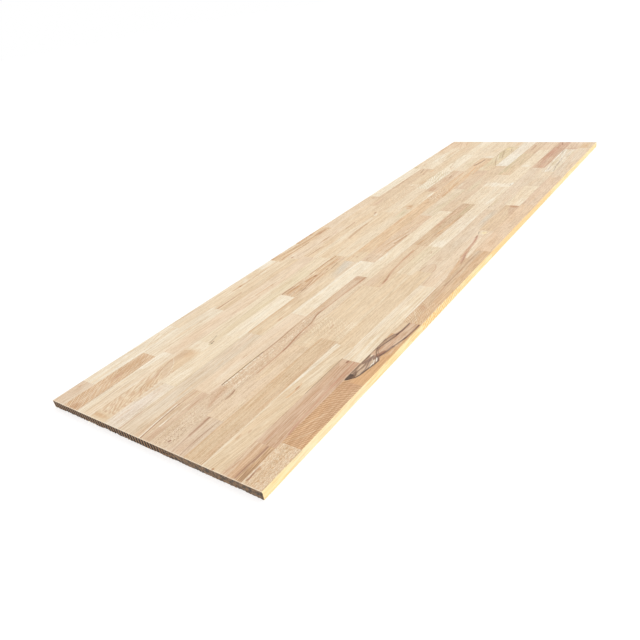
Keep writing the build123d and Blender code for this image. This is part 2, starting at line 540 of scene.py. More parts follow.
              streak([(130, 5), (170, 8), (220, 13)], 3, "tan", 0.7),
              fill([(190, -4), (409, -4)], [(190, -2), (260, 6), (409, 14)], "ivory", 0.7),
              patch(330, 28, 90, 12, "cream", 0.6), streak([(300, 27), (409, 33)], 2, "honey", 0.5),
              streak([(210, 18), (235, 20.5), (262, 18)], 2.6, "amber", 0.7, 1.2),
              knot(245, 20, 9, 2.2, "sienna", 0.9), knot(84, 9, 8, 1.8, "sienna", 0.5),
              knot(104, 19, 6, 1.8, "sienna", 0.45), knot(2, 26, 4, 2.8, "bronze", 0.8),
              seamOrHighlight(236, 366, 46, "umber", 0.75), slope=-14),
        stave("biscuit", lines(409, 782, 3.6, "honey", 0.6, 0.02, "wheat", 0.4),
              patch(640, 12, 90, 10, "tan", 0.4), figure(409, 600, 15, "tan", 0.5, 50, 1, 0, "wheat", 0.4),
              seamOrHighlight(410, 760, 45.4, "ivory", 0.85)),
        stave("sand",
              fill([(783, 8), (805, 10), (822, 16), (832, 23)],
                   [(783, 42), (805, 41), (822, 34), (832, 25)], "fawn", 0.8),
              streak([(783, 7), (805, 9), (820, 14), (832, 23)], 1.8, "sienna", 0.6, 0.5),
              streak([(783, 42), (805, 41), (822, 35), (833, 25)], 1.8, "sienna", 0.6, 0.5),
              streak([(784, 3), (815, 5), (840, 10), (858, 22)], 2.4, "cream", 0.7, 0.8),
              patch(858, 26, 9, 12, "clay", 0.5), patch(1175, 34, 60, 10, "slate", 0.5),
              lines(860, 1236, 4, "clay", 0.6, -0.04, "cream", 0.5),
              streak([(1000, 7), (1140, 8)], 3, "fawn", 0.4), patch(960, 20, 60, 16, "greige", 0.5),
              patch(1190, 8, 60, 8, "rose", 0.5)),
        stave("sand", figure(1236, 1460, 14, "rose", 0.6, 60, 1, 0, "cream", 0.5),
              patch(1300, 6, 50, 5, "moss", 0.5), lines(1400, 1664, 4, "rose", 0.6, 0.05, "linen", 0.4),
              streak([(1250, 3), (1266, 3)], 2.2, "umber", 0.5), knot(1324, 27, 8, 3, "fawn", 0.6),
              streak([(1560, 44), (1664, 44)], 2, "moss", 0.5)),
        stave("russet", patch(1706, 25, 18, 12, "honey", 0.7),
              streak([(1664, 20), (1690, 30)], 5, "toffee", 0.6),
              fill([(1760, 3), (1820, 2), (1880, 8)], [(1760, 18), (1820, 28), (1880, 30)], "sienna", 0.5),
              patch(1860, 16, 70, 14, "brick", 0.5), patch(1760, 36, 40, 8, "fawn", 0.5),
              lines(1664, 2000, 4, "brick", 0.5, 0.06, "rose", 0.5),
              streak([(1955, 24), (1992, 12)], 3.4, "chestnut", 0.7)),
    ],
    "stave_row_04": [
        stave("honey", band(34, 60, "clay", 0.35), lines(0, 417, 2.6, "toffee", 0.45, 0.0, "wheat", 0.5),
              band(-5, 3, "toffee", 0.4), patch(270, 40, 50, 5, "toffee", 0.4),
              patch(330, 14, 80, 8, "tan", 0.4), seamOrHighlight(130, 417, 46, "cream", 0.7), specks=2.0),
        stave("biscuit", patch(440, 16, 30, 16, "tan", 0.6), figure(430, 500, 10, "tan", 0.6, 36, 1.2),
              streak([(458, 36), (466, 26), (482, 14)], 3, "honey", 0.6),
              streak([(470, 29), (545, 27)], 2, "milk", 0.7),
              streak([(450, 41), (740, 41)], 2.2, "cream", 0.8),
              lines(500, 756, 3.6, "tan", 0.5, 0.0, "cream", 0.4)),
        stave("oat", patch(770, 14, 20, 12, "tan", 0.3), patch(850, 14, 60, 12, "moss", 0.3),
              streak([(890, 33), (905, 28)], 1.8, "sienna", 0.7, 0.5),
              lines(756, 934, 4, "moss", 0.5, 0.05)),
        stave("cream", patch(960, 24, 26, 20, "ivory", 0.7), patch(1120, 18, 60, 20, "linen", 0.6),
              band(34, 60, "ivory", 0.6), streak([(1060, 4), (1130, 5)], 2.6, "fawn", 0.6),
              lines(1000, 1182, 4, "sand", 0.5, 0.02, "ivory", 0.5)),
        stave("cream", streak([(1190, 5), (1240, 10), (1300, 13)], 3.0, "tan", 0.5),
              patch(1305, 36, 34, 12, "ivory", 0.8), streak([(1200, 20), (1290, 26)], 4, "oat", 0.7),
              lines(1182, 1444, 4, "sand", 0.6, -0.02, "ivory", 0.4)),
        stave("cream", patch(1466, 22, 22, 30, "ivory", 0.8),
              streak([(1464, 41), (1480, 38)], 2.6, "umber", 0.5, 0.5),
              patch(1484, 43, 14, 5, "chalk", 0.9), turn(1500, 1540, "oat", 0.4),
              seamOrHighlight(1560, 1668, 1, "honey", 0.5)),
        stave("cream", patch(1680, 20, 16, 20, "ivory", 0.6), turn(1830, 1880, "oat", 0.6),
              seamOrHighlight(1668, 1887, 1, "honey", 0.6)),
        stave("peach", streak([(1890, 28), (1996, 24)], 3.4, "russet", 0.6),
              streak([(1900, 14), (1990, 8)], 3, "rose", 0.7), patch(1960, 40, 60, 8, "rose", 0.4)),
    ],
    "stave_row_05": [
        stave("shell", streak([(0, 16), (20, 14), (40, 13), (104, 10)], 2.4, "chestnut", 0.5),
              streak([(46, 13), (104, 9.5)], 5.0, "chestnut", 0.5, 0.8),
              streak([(88, 9), (104, 10)], 3.4, "chestnut", 0.6, 0.6),
              streak([(0, 37), (50, 34.5), (104, 36)], 1.5, "chestnut", 0.75, 0.6),
              patch(20, 27, 34, 6, "russet", 0.4), streak([(50, 24), (104, 22)], 3, "sand", 0.7),
              lines(0, 104, 2.4, "sienna", 0.3, 0, "sand", 0.6), specks=1.4),
        stave("tan", band(-5, 60, "peach", 0.4), patch(200, 20, 70, 18, "rose", 0.4),
              dashes(104, 374, 0, 47, "rose", 0.5, (12, 5), 0.36),
              dashes(104, 374, 0, 47, "honey", 0.5, (9, 4), 0.3), patch(166, 36, 14, 4, "cream", 0.6),
              patch(262, 16, 26, 9, "wheat", 0.7), specks=1.8),
        stave("biscuit", figure(374, 425, 10, "tan", 0.5, -40), figure(425, 505, 9, "honey", 0.6, 60, 0.8),
              streak([(458, 42), (476, 40)], 3, "sienna", 0.5), lines(500, 669, 3.6, "tan", 0.6)),
        stave("tan", patch(700, 12, 44, 16, "clay", 0.7),
              streak([(672, 44), (694, 43), (720, 40)], 3, "brick", 0.7),
              streak([(690, 43), (720, 38), (745, 32), (790, 26), (850, 22.5), (900, 21)], 4.6, "sienna",
                     0.95, 0.9),
              streak([(700, 42), (722, 38), (740, 34)], 2, "chestnut", 0.6),
              streak([(800, 15), (860, 12), (932, 10)], 3, "tan", 0.7),
              streak([(880, 26), (932, 20)], 4, "toffee", 0.5),
              streak([(860, 16), (932, 14)], 2.4, "wheat", 0.7), patch(880, 38, 60, 9, "wheat", 0.4),
              lines(669, 932, 3.0, "fawn", 0.5)),
        stave("honey", lines(932, 1275, 3.2, "sienna", 0.55, -0.06, "biscuit", 0.6),
              streak([(932, 10), (975, 16)], 5, "toffee", 0.5),
              streak([(1080, 3), (1190, 4)], 3, "brick", 0.5),
              streak([(1020, 34), (1080, 38), (1130, 40)], 4, "amber", 0.6),
              patch(1225, 10, 50, 8, "russet", 0.6),
              figure(1100, 1270, 11, "chestnut", 0.35, -90, 1.0, 0, "wheat", 0.6, 0.5),
              patch(1210, 36, 60, 8, "olive", 0.5)),
        stave("oat", patch(1468, 24, 24, 34, "ivory", 0.8), patch(1300, 24, 30, 16, "wheat", 0.4),
              patch(1545, 14, 30, 14, "peach", 0.6), figure(1290, 1440, 16, "wheat", 0.4, 70)),
        stave("tan", patch(1579, 24, 9, 34, "tan", 0.8), band(-5, 12, "olive", 0.5),
              lines(1600, 1836, 4, "olive", 0.6, 0.08, "cream", 0.5)),
        stave("fawn", streak([(1880, 16), (1920, 16), (1955, 13)], 4.4, "sienna", 0.7),
              patch(1850, 18, 16, 16, "tan", 0.5), streak([(1880, 34), (2000, 30)], 6, "wheat", 0.5),
              band(36, 60, "russet", 0.4)),
    ],
    "stave_row_06": [
        stave("fawn", fill([(0, -5), (120, -5)], [(0, 60), (120, 60)], "sand", 0.6),
              dashes(0, 120, 0, 47, "honey", 0.5, (6, 3.4), 0.36),
              dashes(0, 130, 0, 47, "cream", 0.4, (6, 3), 0.3),
              dashes(4, 60, 8, 44, "chestnut", 0.7, (5, 2.2), 0.28),
              dashes(60, 120, 4, 40, "sienna", 0.6, (6, 2.6), 0.26), knot(20, 34, 4, 2.4, "chestnut", 0.85),
              fill([(118, 30), (150, 10), (170, -4), (190, -4)], [(118, 31), (160, 27), (190, 22)],
                   "russet", 0.45),
              streak([(126, 28), (155, 21), (190, 14)], 3.6, "sienna", 0.35),
              streak([(108, 42), (150, 33), (190, 27)], 3.6, "rose", 0.5),
              patch(176, 34, 14, 4, "greige", 0.6, -0.2),
              streak([(156, 46), (174, 44), (190, 40)], 2.6, "chestnut", 0.75, 0.6), flecks=1.4,
              specks=2.2),
        stave("fawn", dashes(190, 560, 6, 42, "sienna", 0.45, (6, 2.4), 0.34),
              dashes(196, 520, 8, 38, "ivory", 0.8, (8, 2.2), 0.28), seamOrHighlight(190, 324, 1.0, "umber", 0.9, 1.6),
              streak([(190, 6.2), (250, 6.2), (316, 6)], 2.8, "ivory", 1.0, 0.3, 5.5),
              streak([(298, 5), (340, 3.6), (366, 4), (400, 2.4), (436, 0)], 1.9, "chestnut", 0.6, 0.7),
              streak([(192, 31), (240, 32)], 2, "ivory", 0.8, 0.6, 8),
              streak([(192, 38), (246, 37)], 2.0, "cream", 0.8, 0.6, 9),
              streak([(232, 17), (282, 17)], 2.2, "ivory", 0.8, 0.6, 7),
              streak([(320, 21), (338, 20)], 2.2, "ivory", 0.9, 0.5),
              streak([(250, 46), (300, 43.5), (350, 42), (377, 38.5), (400, 34), (430, 31), (460, 29.5),
                      (475, 26), (492, 21), (508, 18.5), (550, 20.5), (620, 23), (711, 26)], 2.9, "sienna",
                     0.95, 0.7),
              streak([(340, 42.5), (362, 40.5), (378, 38.5), (400, 34.5), (424, 32)], 2.2, "chestnut", 0.5,
                     0.6),
              streak([(450, 31), (466, 28), (480, 24), (500, 20), (520, 19)], 1.8, "umber", 0.5, 0.6),
              fill([(466, 32), (480, 27), (495, 23), (508, 21.5), (560, 23.5), (711, 30)],
                   [(466, 50), (711, 50)], "oat", 0.7),
              streak([(470, 30), (500, 36), (545, 46)], 1.8, "clay", 0.7, 0.8),
              streak([(484, 39), (520, 41)], 2.2, "milk", 0.6),
              streak([(458, 8), (470, 4)], 2.0, "ivory", 0.8, 0.5), patch(560, 4, 60, 8, "toffee", 0.35),
              fill([(600, -5), (711, -5)], [(600, 18), (711, 24)], "clay", 0.5),
              streak([(620, 25), (711, 28)], 4, "sienna", 0.7, 1.2), patch(698, 12, 14, 12, "sienna", 0.5),
              seamOrHighlight(560, 711, 45.8, "toffee", 0.6), flecks=0.9, specks=2.0),
        stave("cream", patch(826, 8, 14, 10, "ivory", 0.8), patch(760, 36, 50, 10, "wheat", 0.3),
              seamOrHighlight(711, 838, 45, "sienna", 0.55)),
        stave("cream", streak([(838, 12), (862, 4)], 3, "chalk", 0.5), seamOrHighlight(838, 1010, 45, "sienna", 0.5),
              seamOrHighlight(1010, 1190, 45.4, "toffee", 0.45), turn(1170, 1196, "milk", 0.6)),
        stave("fawn", patch(1270, 32, 44, 12, "tan", 0.6), turn(1320, 1420, "sand", 0.6),
              patch(1440, 16, 60, 14, "moss", 0.5), lines(1198, 1675, 4, "honey", 0.5, 0.03),
              turn(1480, 1560, "tan", 0.6), patch(1600, 30, 60, 10, "honey", 0.4)),
        stave("bone", turn(1800, 1860, "linen", 0.4), seamOrHighlight(1690, 2000, 1, "tan", 0.5), rings=0.5,
              grainLines=0.7),
    ],
    "stave_row_07": [
        stave("fawn", lines(0, 156, 2.4, "russet", 0.7, 0.04, "cream", 0.6), band(24, 50, "russet", 0.3),
              band(14, 24, "honey", 0.4),
              streak([(0, 17), (30, 13.5), (60, 10), (106, 7.5)], 1.9, "ivory", 1.0, 0.3),
              streak([(106, 7.5), (130, 9), (156, 8.5)], 1.6, "cream", 0.6),
              streak([(0, 20), (50, 14.5), (110, 11)], 2.0, "chestnut", 0.75, 0.5),
              streak([(104, 12), (156, 13)], 1.8, "sienna", 0.7),
              streak([(40, 29), (60, 28), (92, 26)], 2.2, "ivory", 0.9, 0.6),
              streak([(64, 33), (116, 32)], 1.6, "cream", 0.8, 1, 9),
              streak([(136, 25), (156, 25)], 1.8, "cream", 0.8),
              streak([(0, 25), (30, 26)], 1.8, "cream", 0.7), patch(130, 40, 36, 5, "russet", 0.5),
              streak([(100, 42), (130, 40)], 2.6, "sienna", 0.4), patch(20, 38, 26, 7, "russet", 0.5),
              grainLines=1.3, specks=1.3),
        stave("peach", streak([(284, 22), (292, 20), (300, 21)], 2.0, "sienna", 0.7),
              patch(230, 30, 60, 12, "milk", 0.4), seamOrHighlight(210, 330, 45.6, "butter", 0.5),
              seamOrHighlight(400, 486, 46, "sienna", 0.7), grainLines=0.7, specks=1.3),
        stave("milk", patch(508, 30, 22, 16, "wheat", 0.6),
              streak([(488, 37), (506, 34)], 2.2, "honey", 0.7), patch(560, 24, 30, 16, "cream", 0.4),
              band(-5, 8, "ivory", 0.7), seamOrHighlight(486, 708, 46, "sienna", 0.85, 1.3),
              seamOrHighlight(720, 796, 46, "ivory", 0.6)),
        stave("peach", turn(840, 858, "toffee", 0.3),
              fill([(796, -5), (842, -5)], [(796, 60), (842, 60)], "clay", 0.5),
              streak([(803, 20), (812, 14), (822, 17)], 2.2, "sienna", 0.6, 0.5),
              patch(813, 20, 6, 3.4, "cream", 0.7),
              streak([(806, 25), (816, 25), (824, 20)], 1.8, "fawn", 0.7),
              streak([(925, 36), (950, 40), (992, 42)], 3.6, "bronze", 0.85),
              streak([(870, 40), (925, 43)], 3.4, "toffee", 0.6),
              streak([(880, 20), (930, 27), (960, 32), (1020, 43)], 2.4, "ivory", 0.85, 0.8),
              streak([(950, 14), (1000, 20), (1080, 30)], 2.6, "cream", 0.7),
              streak([(900, 16), (960, 24), (1020, 34)], 3, "toffee", 0.6),
              knot(1080, 3, 9, 3, "olive", 0.8), patch(1100, 16, 50, 10, "wheat", 0.5),
              lines(830, 1150, 3.4, "toffee", 0.4, -0.1)),
        stave("sand", streak([(1166, 22), (1220, 26), (1270, 30)], 3, "olive", 0.9),
              band(-5, 10, "oat", 0.5), band(34, 60, "moss", 0.4),
              lines(1170, 1405, 3.6, "moss", 0.6, -0.06, "cream", 0.5)),
        stave("fawn", patch(1446, 8, 30, 5, "milk", 0.8, -0.1),
              streak([(1408, 22), (1490, 21)], 3.4, "russet", 0.6), patch(1590, 12, 20, 10, "russet", 0.4),
              lines(1405, 1614, 4, "russet", 0.5, 0.06, "wheat", 0.4)),
        stave("biscuit", patch(1640, 8, 26, 8, "cream", 0.8), turn(1650, 1700, "moss", 0.7),
              fill([(1770, 24), (1836, 2), (1890, -4)], [(1770, 40), (1840, 24), (1890, 10)], "olive", 0.8),
              streak([(1677, 43), (1715, 31), (1762, 15), (1822, 1)], 2.2, "chestnut", 0.85, 0.5),
              streak([(1640, 42), (1690, 24), (1740, 8)], 2.0, "honey", 0.6),
              streak([(1740, 30), (1780, 16), (1812, 6)], 2.0, "chalk", 0.8, 0.6),
              streak([(1770, 35), (1820, 20), (1873, 5)], 2.2, "chestnut", 0.8, 0.5),
              streak([(1800, 34), (1850, 20), (1890, 8)], 2.0, "cream", 0.7),
              streak([(1850, 46), (1895, 26)], 2.2, "chestnut", 0.7, 0.5),
              patch(1896, 14, 16, 10, "butter", 0.6), lines(1614, 1928, 4, "moss", 0.5, 0.3, "cream", 0.5)),
        stave("oat", patch(1965, 30, 30, 12, "amber", 0.35), band(-5, 12, "peach", 0.5)),
    ],
    "stave_row_08": [
        stave("greige", lines(0, 375, 2.8, "honey", 0.5, 0.01, "linen", 0.6),
              patch(60, 24, 60, 20, "linen", 0.4), seamOrHighlight(0, 60, 1.5, "brick", 0.45, 1.8),
              streak([(20, 35), (155, 34)], 1.6, "honey", 0.7),
              streak([(130, 32), (200, 33), (262, 30)], 2.0, "honey", 0.9), seamOrHighlight(60, 375, 1.2, "moss", 0.6),
              patch(330, 20, 60, 12, "rose", 0.45), streak([(300, 12), (375, 9)], 2, "tan", 0.5),
              streak([(300, 18), (375, 15)], 2, "linen", 0.7), grainLines=1.1),
        stave("biscuit", streak([(375, 2), (440, 3), (560, 6)], 4.4, "toffee", 0.6),
              patch(460, 20, 22, 3, "cream", 0.6), streak([(488, 21), (520, 20)], 2.2, "cream", 0.8),
              streak([(546, 25), (582, 24)], 2.2, "cream", 0.8), patch(452, 37, 13, 3, "sienna", 0.6, -0.1),
              patch(600, 12, 80, 12, "peach", 0.6),
              fill([(676, 40), (715, 28), (750, 12), (785, 2)], [(676, 44), (785, 42)], "greige", 0.8),
              patch(740, 22, 60, 15, "slate", 0.4, -0.6), lines(375, 690, 4, "honey", 0.4),
              seamOrHighlight(420, 785, 45.4, "ivory", 0.85)),
        stave("biscuit", turn(830, 880, "amber", 0.25), band(-5, 16, "amber", 0.15),
              knot(818, 10, 5, 3, "sienna", 0.5), knot(818, 23, 5, 3, "sienna", 0.5),
              streak([(1060, 5), (1112, 4)], 3.4, "sienna", 0.5),
              streak([(1247, 18), (1275, 22)], 4, "russet", 0.8),
              streak([(866, 41), (902, 39)], 2, "milk", 0.7),
              lines(850, 1276, 3.4, "toffee", 0.4, 0.0, "wheat", 0.4)),
        stave("tan", lines(1276, 1760, 3.4, "amber", 0.6, 0.08, "wheat", 0.5),
              figure(1290, 1400, 12, "sienna", 0.4, 80),
              streak([(1325, 42), (1400, 38), (1470, 32)], 5, "toffee", 0.8),
              streak([(1480, 32), (1640, 26)], 4, "amber", 0.5),
              streak([(1540, 5), (1585, 5)], 3.6, "toffee", 0.7),
              streak([(1668, 9), (1690, 14), (1720, 20), (1750, 22)], 4.6, "maroon", 0.9, 0.8),
              patch(1744, 34, 10, 12, "toffee", 0.5)),
        stave("oat", patch(1782, 20, 14, 24, "ivory", 0.7), patch(1880, 24, 36, 12, "wheat", 0.6)),
        stave("oat", turn(1940, 1990, "biscuit", 0.5), streak([(1925, 10), (1990, 12)], 3, "honey", 0.4)),
    ],
    "stave_row_09": [
        stave("linen", patch(60, 24, 70, 18, "lilac", 0.4),
              streak([(76, 5), (110, 8), (146, 12)], 5, "tan", 0.7), patch(19, 30, 9, 4, "clay", 0.5),
              patch(66, 38, 10, 3, "clay", 0.5), patch(124, 22, 16, 4, "rose", 0.6),
              patch(40, 16, 26, 4, "rose", 0.5), dashes(0, 146, 0, 47, "ivory", 0.4, (8, 4), 0.34),
              specks=1.8),
        stave("cream", streak([(200, 19), (260, 21), (346, 22)], 5, "wheat", 0.7, 1.4),
              patch(180, 32, 40, 12, "ivory", 0.5), patch(200, 10, 60, 6, "oat", 0.4),
              dashes(146, 346, 0, 47, "wheat", 0.4, (10, 4), 0.3), specks=1.4),
        stave("milk", patch(400, 20, 60, 12, "ivory", 0.5), patch(360, 30, 24, 12, "cream", 0.6), rings=0.5,
              specks=1.2),
        stave("biscuit", patch(600, 26, 50, 22, "clay", 0.6), patch(660, 30, 60, 10, "russet", 0.4),
              dashes(558, 720, 4, 44, "chestnut", 0.5, (14, 3.2), 0.3),
              dashes(570, 790, 4, 44, "wheat", 0.5, (16, 3), 0.26),
              streak([(556, 3), (585, 3.5), (612, 8)], 2.8, "chestnut", 0.8),
              streak([(618, 3), (640, 6)], 2, "sienna", 0.7),
              streak([(680, 3), (740, 2), (803, 6)], 3.0, "bronze", 0.9),
              patch(700, 11, 60, 4, "wheat", 0.9, 0.05),
              streak([(600, 8), (650, 9), (700, 8)], 2.2, "cream", 0.9),
              streak([(562, 12), (590, 13), (614, 16)], 4.4, "bronze", 0.75, 1.2),
              streak([(566, 22), (600, 19), (624, 14)], 2.4, "toffee", 0.8),
              streak([(637, 18), (660, 20), (683, 24)], 4.0, "bronze", 0.85, 1.2),
              knot(676, 24, 8, 3, "chestnut", 0.8),
              streak([(700, 16), (740, 18), (790, 20)], 2.6, "toffee", 0.9),
              streak([(738, 22), (772, 25)], 3.2, "sienna", 0.8),
              streak([(590, 41), (622, 37), (652, 31)], 2.4, "chestnut", 0.8, 0.8),
              streak([(600, 46), (650, 41), (700, 36)], 1.8, "sienna", 0.8),
              streak([(560, 34), (600, 28), (640, 27)], 1.8, "wheat", 0.9),
              streak([(610, 42), (650, 36), (690, 31), (720, 27)], 1.8, "cream", 0.9),
              knot(722, 31, 5, 3, "chestnut", 0.8), streak([(727, 42), (767, 36)], 2.2, "chestnut", 0.7),
              patch(792, 34, 16, 9, "rose", 0.9), patch(780, 26, 20, 3, "sienna", 0.5),
              lines(556, 808, 2.8, "toffee", 0.6, 0.06, "wheat", 0.6), rings=1.4, grainLines=1.4),
        stave("oat", patch(1150, 28, 40, 12, "olive", 0.5), streak([(1120, 12), (1188, 11)], 4, "tan", 0.6),
              patch(860, 22, 40, 14, "wheat", 0.4), seamOrHighlight(1050, 1188, 1.5, "honey", 0.5)),
        stave("biscuit", patch(1212, 24, 22, 12, "toffee", 0.75, -0.3),
              streak([(1188, 10), (1200, 16), (1210, 28)], 2, "chalk", 0.9, 0.5),
              patch(1240, 38, 20, 5, "tan", 0.6),
              streak([(1246, 42), (1290, 40), (1330, 43)], 3, "ivory", 0.95, 0.8),
              patch(1335, 38, 24, 6, "ivory", 0.9), patch(1300, 16, 40, 8, "wheat", 0.5),
              streak([(1240, 32), (1290, 28), (1330, 32)], 2.6, "cream", 0.7),
              seamOrHighlight(1240, 1365, 1.5, "rose", 0.6)),
        stave("tan", band(-5, 30, "clay", 0.4), patch(1390, 20, 26, 12, "sienna", 0.45),
              patch(1500, 14, 26, 7, "sienna", 0.4), streak([(1512, 24), (1545, 20)], 3.6, "chestnut", 0.6),
              streak([(1480, 30), (1596, 26)], 3, "russet", 0.6),
              lines(1365, 1600, 3.6, "sienna", 0.4, 0.06, "rose", 0.5), band(34, 60, "rose", 0.5)),
        stave("oat", patch(1700, 28, 60, 12, "moss", 0.5), rings=0.7),
        stave("oat", patch(1940, 36, 60, 9, "tan", 0.7), streak([(1900, 8), (2000, 8)], 4, "wheat", 0.6),
              streak([(1900, 17), (1980, 15)], 4, "cream", 0.6),
              streak([(1930, 30), (2000, 27)], 3, "honey", 0.6)),
    ],
    "stave_row_10": [
        # Lines that swirl across the stave
        stave("biscuit", patch(13, 18, 6, 30, "toffee", 0.6), patch(60, 26, 40, 20, "tan", 0.5),
              figure(24, 190, 9, "sienna", 0.2, 40, 1.4, 34, "cream", 0.3, 0.8),
              figure(24, 190, 17, "sienna", 0.35, 40, 1.6, 34, "milk", 0.35, 1.0),
              streak([(18, 0), (19.5, 4), (20.5, 24), (21.5, 46)], 1.3, "chestnut", 0.8, 0.4),
              streak([(24, 0), (26, 14), (27, 30), (29, 46)], 1.2, "sienna", 0.8, 0.6),
              streak([(30, 2), (33, 16), (36, 22)], 1.2, "chestnut", 0.5, 0.6),
              streak([(46, 22), (54, 14), (62, 8)], 1.6, "sienna", 0.6, 0.6),
              patch(134, 26, 16, 8, "toffee", 0.5, -0.5), patch(104, 32, 16, 6, "sienna", 0.35, -0.5),
              patch(156, 18, 14, 6, "russet", 0.5, -0.5),
              fill([(150, 44), (168, 26), (186, 10), (204, 2), (222, 0)],
                   [(150, 47), (180, 40), (204, 24), (222, 2)], "fawn", 0.8),
              streak([(150, 24), (176, 13), (196, 6), (222, 2)], 2.0, "sienna", 0.65, 0.7),
              fill([(184, 46), (206, 24), (222, 2), (256, -3), (264, 12), (274, 34)],
                   [(184, 50), (230, 46), (274, 36)], "tan", 0.9),
              patch(236, 8, 26, 12, "sienna", 0.3), patch(250, 24, 14, 12, "toffee", 0.35),
              streak([(255, 1), (262, 12), (268, 24), (275, 34)], 2.0, "toffee", 0.8, 0.5),
              streak([(128, 46), (170, 41), (190, 32), (206, 21), (222, 3)], 1.4, "ivory", 0.65, 0.8),
              streak([(268, 33), (280, 34), (292, 32)], 1.8, "toffee", 0.6), turn(262, 276, "milk", 0.9),
              patch(284, 14, 8, 8, "peach", 0.6), knot(301, 42, 5, 4, "olive", 0.8), grainLines=0.7,
              specks=1.3),
        stave("oat",
              fill([(303, 30), (400, 28), (470, 20), (700, 18)], [(303, 50), (700, 50)], "moss", 0.5),
              patch(360, 38, 50, 8, "tan", 0.5), patch(310, 37, 10, 5, "clay", 0.6),
              streak([(304, 36), (320, 32), (336, 28)], 1.5, "umber", 0.85, 0.6),
              knot(306, 42, 3.4, 2.2, "char", 0.8), knot(313, 40, 2.6, 1.6, "umber", 0.8),
              band(-5, 8, "cream", 0.5), turn(640, 785, "cream", 0.4), seamOrHighlight(550, 590, 46, "brick", 0.6),
              lines(303, 785, 4, "moss", 0.5, 0.02, "cream", 0.4), specks=1.2),
        stave("wheat", streak([(925, 14), (955, 9), (1000, 6), (1050, 4)], 5.6, "bronze", 0.6, 0.8),
              streak([(1040, 4), (1130, 3)], 2.6, "toffee", 0.5), knot(814, 2, 9, 2, "honey", 0.8),
              patch(1010, 30, 60, 12, "tan", 0.4), lines(785, 1152, 3.6, "tan", 0.5, 0.05, "milk", 0.4),
              patch(900, 12, 40, 6, "tan", 0.6)),
        stave("oat", patch(1240, 42, 70, 8, "milk", 0.9),
              lines(1152, 1392, 4, "tan", 0.4, 0.08, "cream", 0.4), patch(1230, 16, 50, 10, "sand", 0.6),
              streak([(1200, 30), (1290, 20)], 3, "cream", 0.6)),
        stave("milk", figure(1392, 1590, 17, "moss", 0.7, 130, 0.8, 0, "chalk", 0.7, 0.4),
              patch(1440, 2, 36, 4, "honey", 0.5),
              streak([(1604, 38), (1622, 27), (1640, 17), (1670, 11), (1700, 4), (1730, 0)], 2.6, "honey",
                     0.9, 0.7),
              patch(1626, 30, 22, 10, "oat", 0.9), streak([(1500, 18), (1575, 8)], 2.4, "olive", 0.8),
              streak([(1460, 40), (1500, 32), (1560, 22)], 2.4, "moss", 0.9), rings=0.5),
        stave("cream", turn(1915, 1930, "milk", 0.8), patch(1880, 34, 26, 10, "oat", 0.8),
              patch(1930, 40, 30, 5, "olive", 0.4)),
    ],
    "stave_row_11": [
        stave("flax", band(-5, 6, "milk", 0.5), fill([(0, 5), (120, 7)], [(0, 19), (120, 18)], "milk", 0.6),
              fill([(160, -4), (235, -4)], [(160, 0), (180, 20), (235, 27)], "ivory", 0.8),
              streak([(0, 24), (40, 22.5), (80, 20), (120, 18.5)], 1.8, "chestnut", 0.5, 0.8),
              streak([(0, 28), (60, 27)], 1.6, "tan", 0.7),
              streak([(120, 19), (200, 17)], 1.5, "wheat", 0.7),
              fill([(0, 28), (235, 28)], [(0, 60), (235, 60)], "peach", 0.5),
              seamOrHighlight(0, 90, 1, "chestnut", 0.4), patch(190, 38, 34, 6, "ivory", 0.5),
              lines(0, 235, 3.0, "wheat", 0.6, 0, "ivory", 0.5), specks=1.4),
        stave("peach", lines(300, 776, 3.6, "rose", 0.6, 0.03, "wheat", 0.5),
              patch(300, 20, 50, 12, "rose", 0.4), streak([(244, 12), (285, 12.5)], 2.2, "honey", 0.7, 1.4),
              patch(270, 6, 12, 5, "cream", 0.6), streak([(490, 12), (566, 15)], 3.6, "tan", 0.8),
              streak([(496, 8), (530, 8)], 1.8, "cream", 0.8),
              streak([(520, 21), (600, 24), (660, 25)], 2.0, "cream", 0.9),
              streak([(530, 27), (560, 28), (600, 29)], 3.0, "toffee", 0.7),
              streak([(620, 18), (700, 14)], 2.4, "wheat", 0.7),
              streak([(680, 42), (776, 32)], 2.4, "rose", 0.8)),
        stave("wheat", streak([(776, 15), (800, 12), (856, 16)], 2.8, "sienna", 0.9),
              streak([(776, 2), (800, 3), (850, 7)], 2.6, "toffee", 0.7),
              streak([(776, 8), (840, 8)], 2, "cream", 0.7),
              streak([(997, 4), (1050, 3)], 3.0, "sienna", 0.75), knot(1139, 26, 8, 3.4, "chestnut", 0.9),
              knot(1128, 33, 5, 3, "sienna", 0.7), patch(1124, 38, 14, 6, "ivory", 0.95),
              patch(900, 18, 70, 8, "tan", 0.5),
              fill([(776, 36), (860, 30), (1100, 34)], [(776, 60), (1100, 60)], "milk", 0.6),
              lines(840, 1152, 3.4, "toffee", 0.35, -0.05, "milk", 0.4)),
        stave("tan", patch(1424, 20, 12, 22, "cream", 0.7), streak([(1270, 6), (1400, 8)], 3, "tan", 0.5),
              figure(1152, 1420, 18, "tan", 0.5, 70)),
        stave("biscuit", streak([(1432, 42), (1450, 42), (1476, 42)], 4.0, "toffee", 0.85),
              band(38, 60, "moss", 0.3), patch(1590, 9, 18, 5, "amber", 0.8, -0.1),
              lines(1480, 1795, 4, "tan", 0.5, 0.06, "milk", 0.4),
              streak([(1480, 8), (1560, 4)], 3, "tan", 0.5)),
        stave("biscuit", patch(1805, 14, 20, 14, "tan", 0.6), patch(1895, 20, 30, 16, "rose", 0.6),
              seamOrHighlight(1820, 2000, 1.5, "amber", 0.5)),
    ],
    "stave_row_12": [
        # Dark, with slanting lines
        stave("biscuit", fill([(0, -4), (100, -4)], [(0, 13), (30, 18), (60, 12), (100, 0)], "wheat", 0.7),
              patch(50, 12, 56, 10, "oat", 0.4),
              figure(0, 212, 7.0, "sienna", 0.85, 66, 0.9, 14, "oat", 0.85, 0.3),
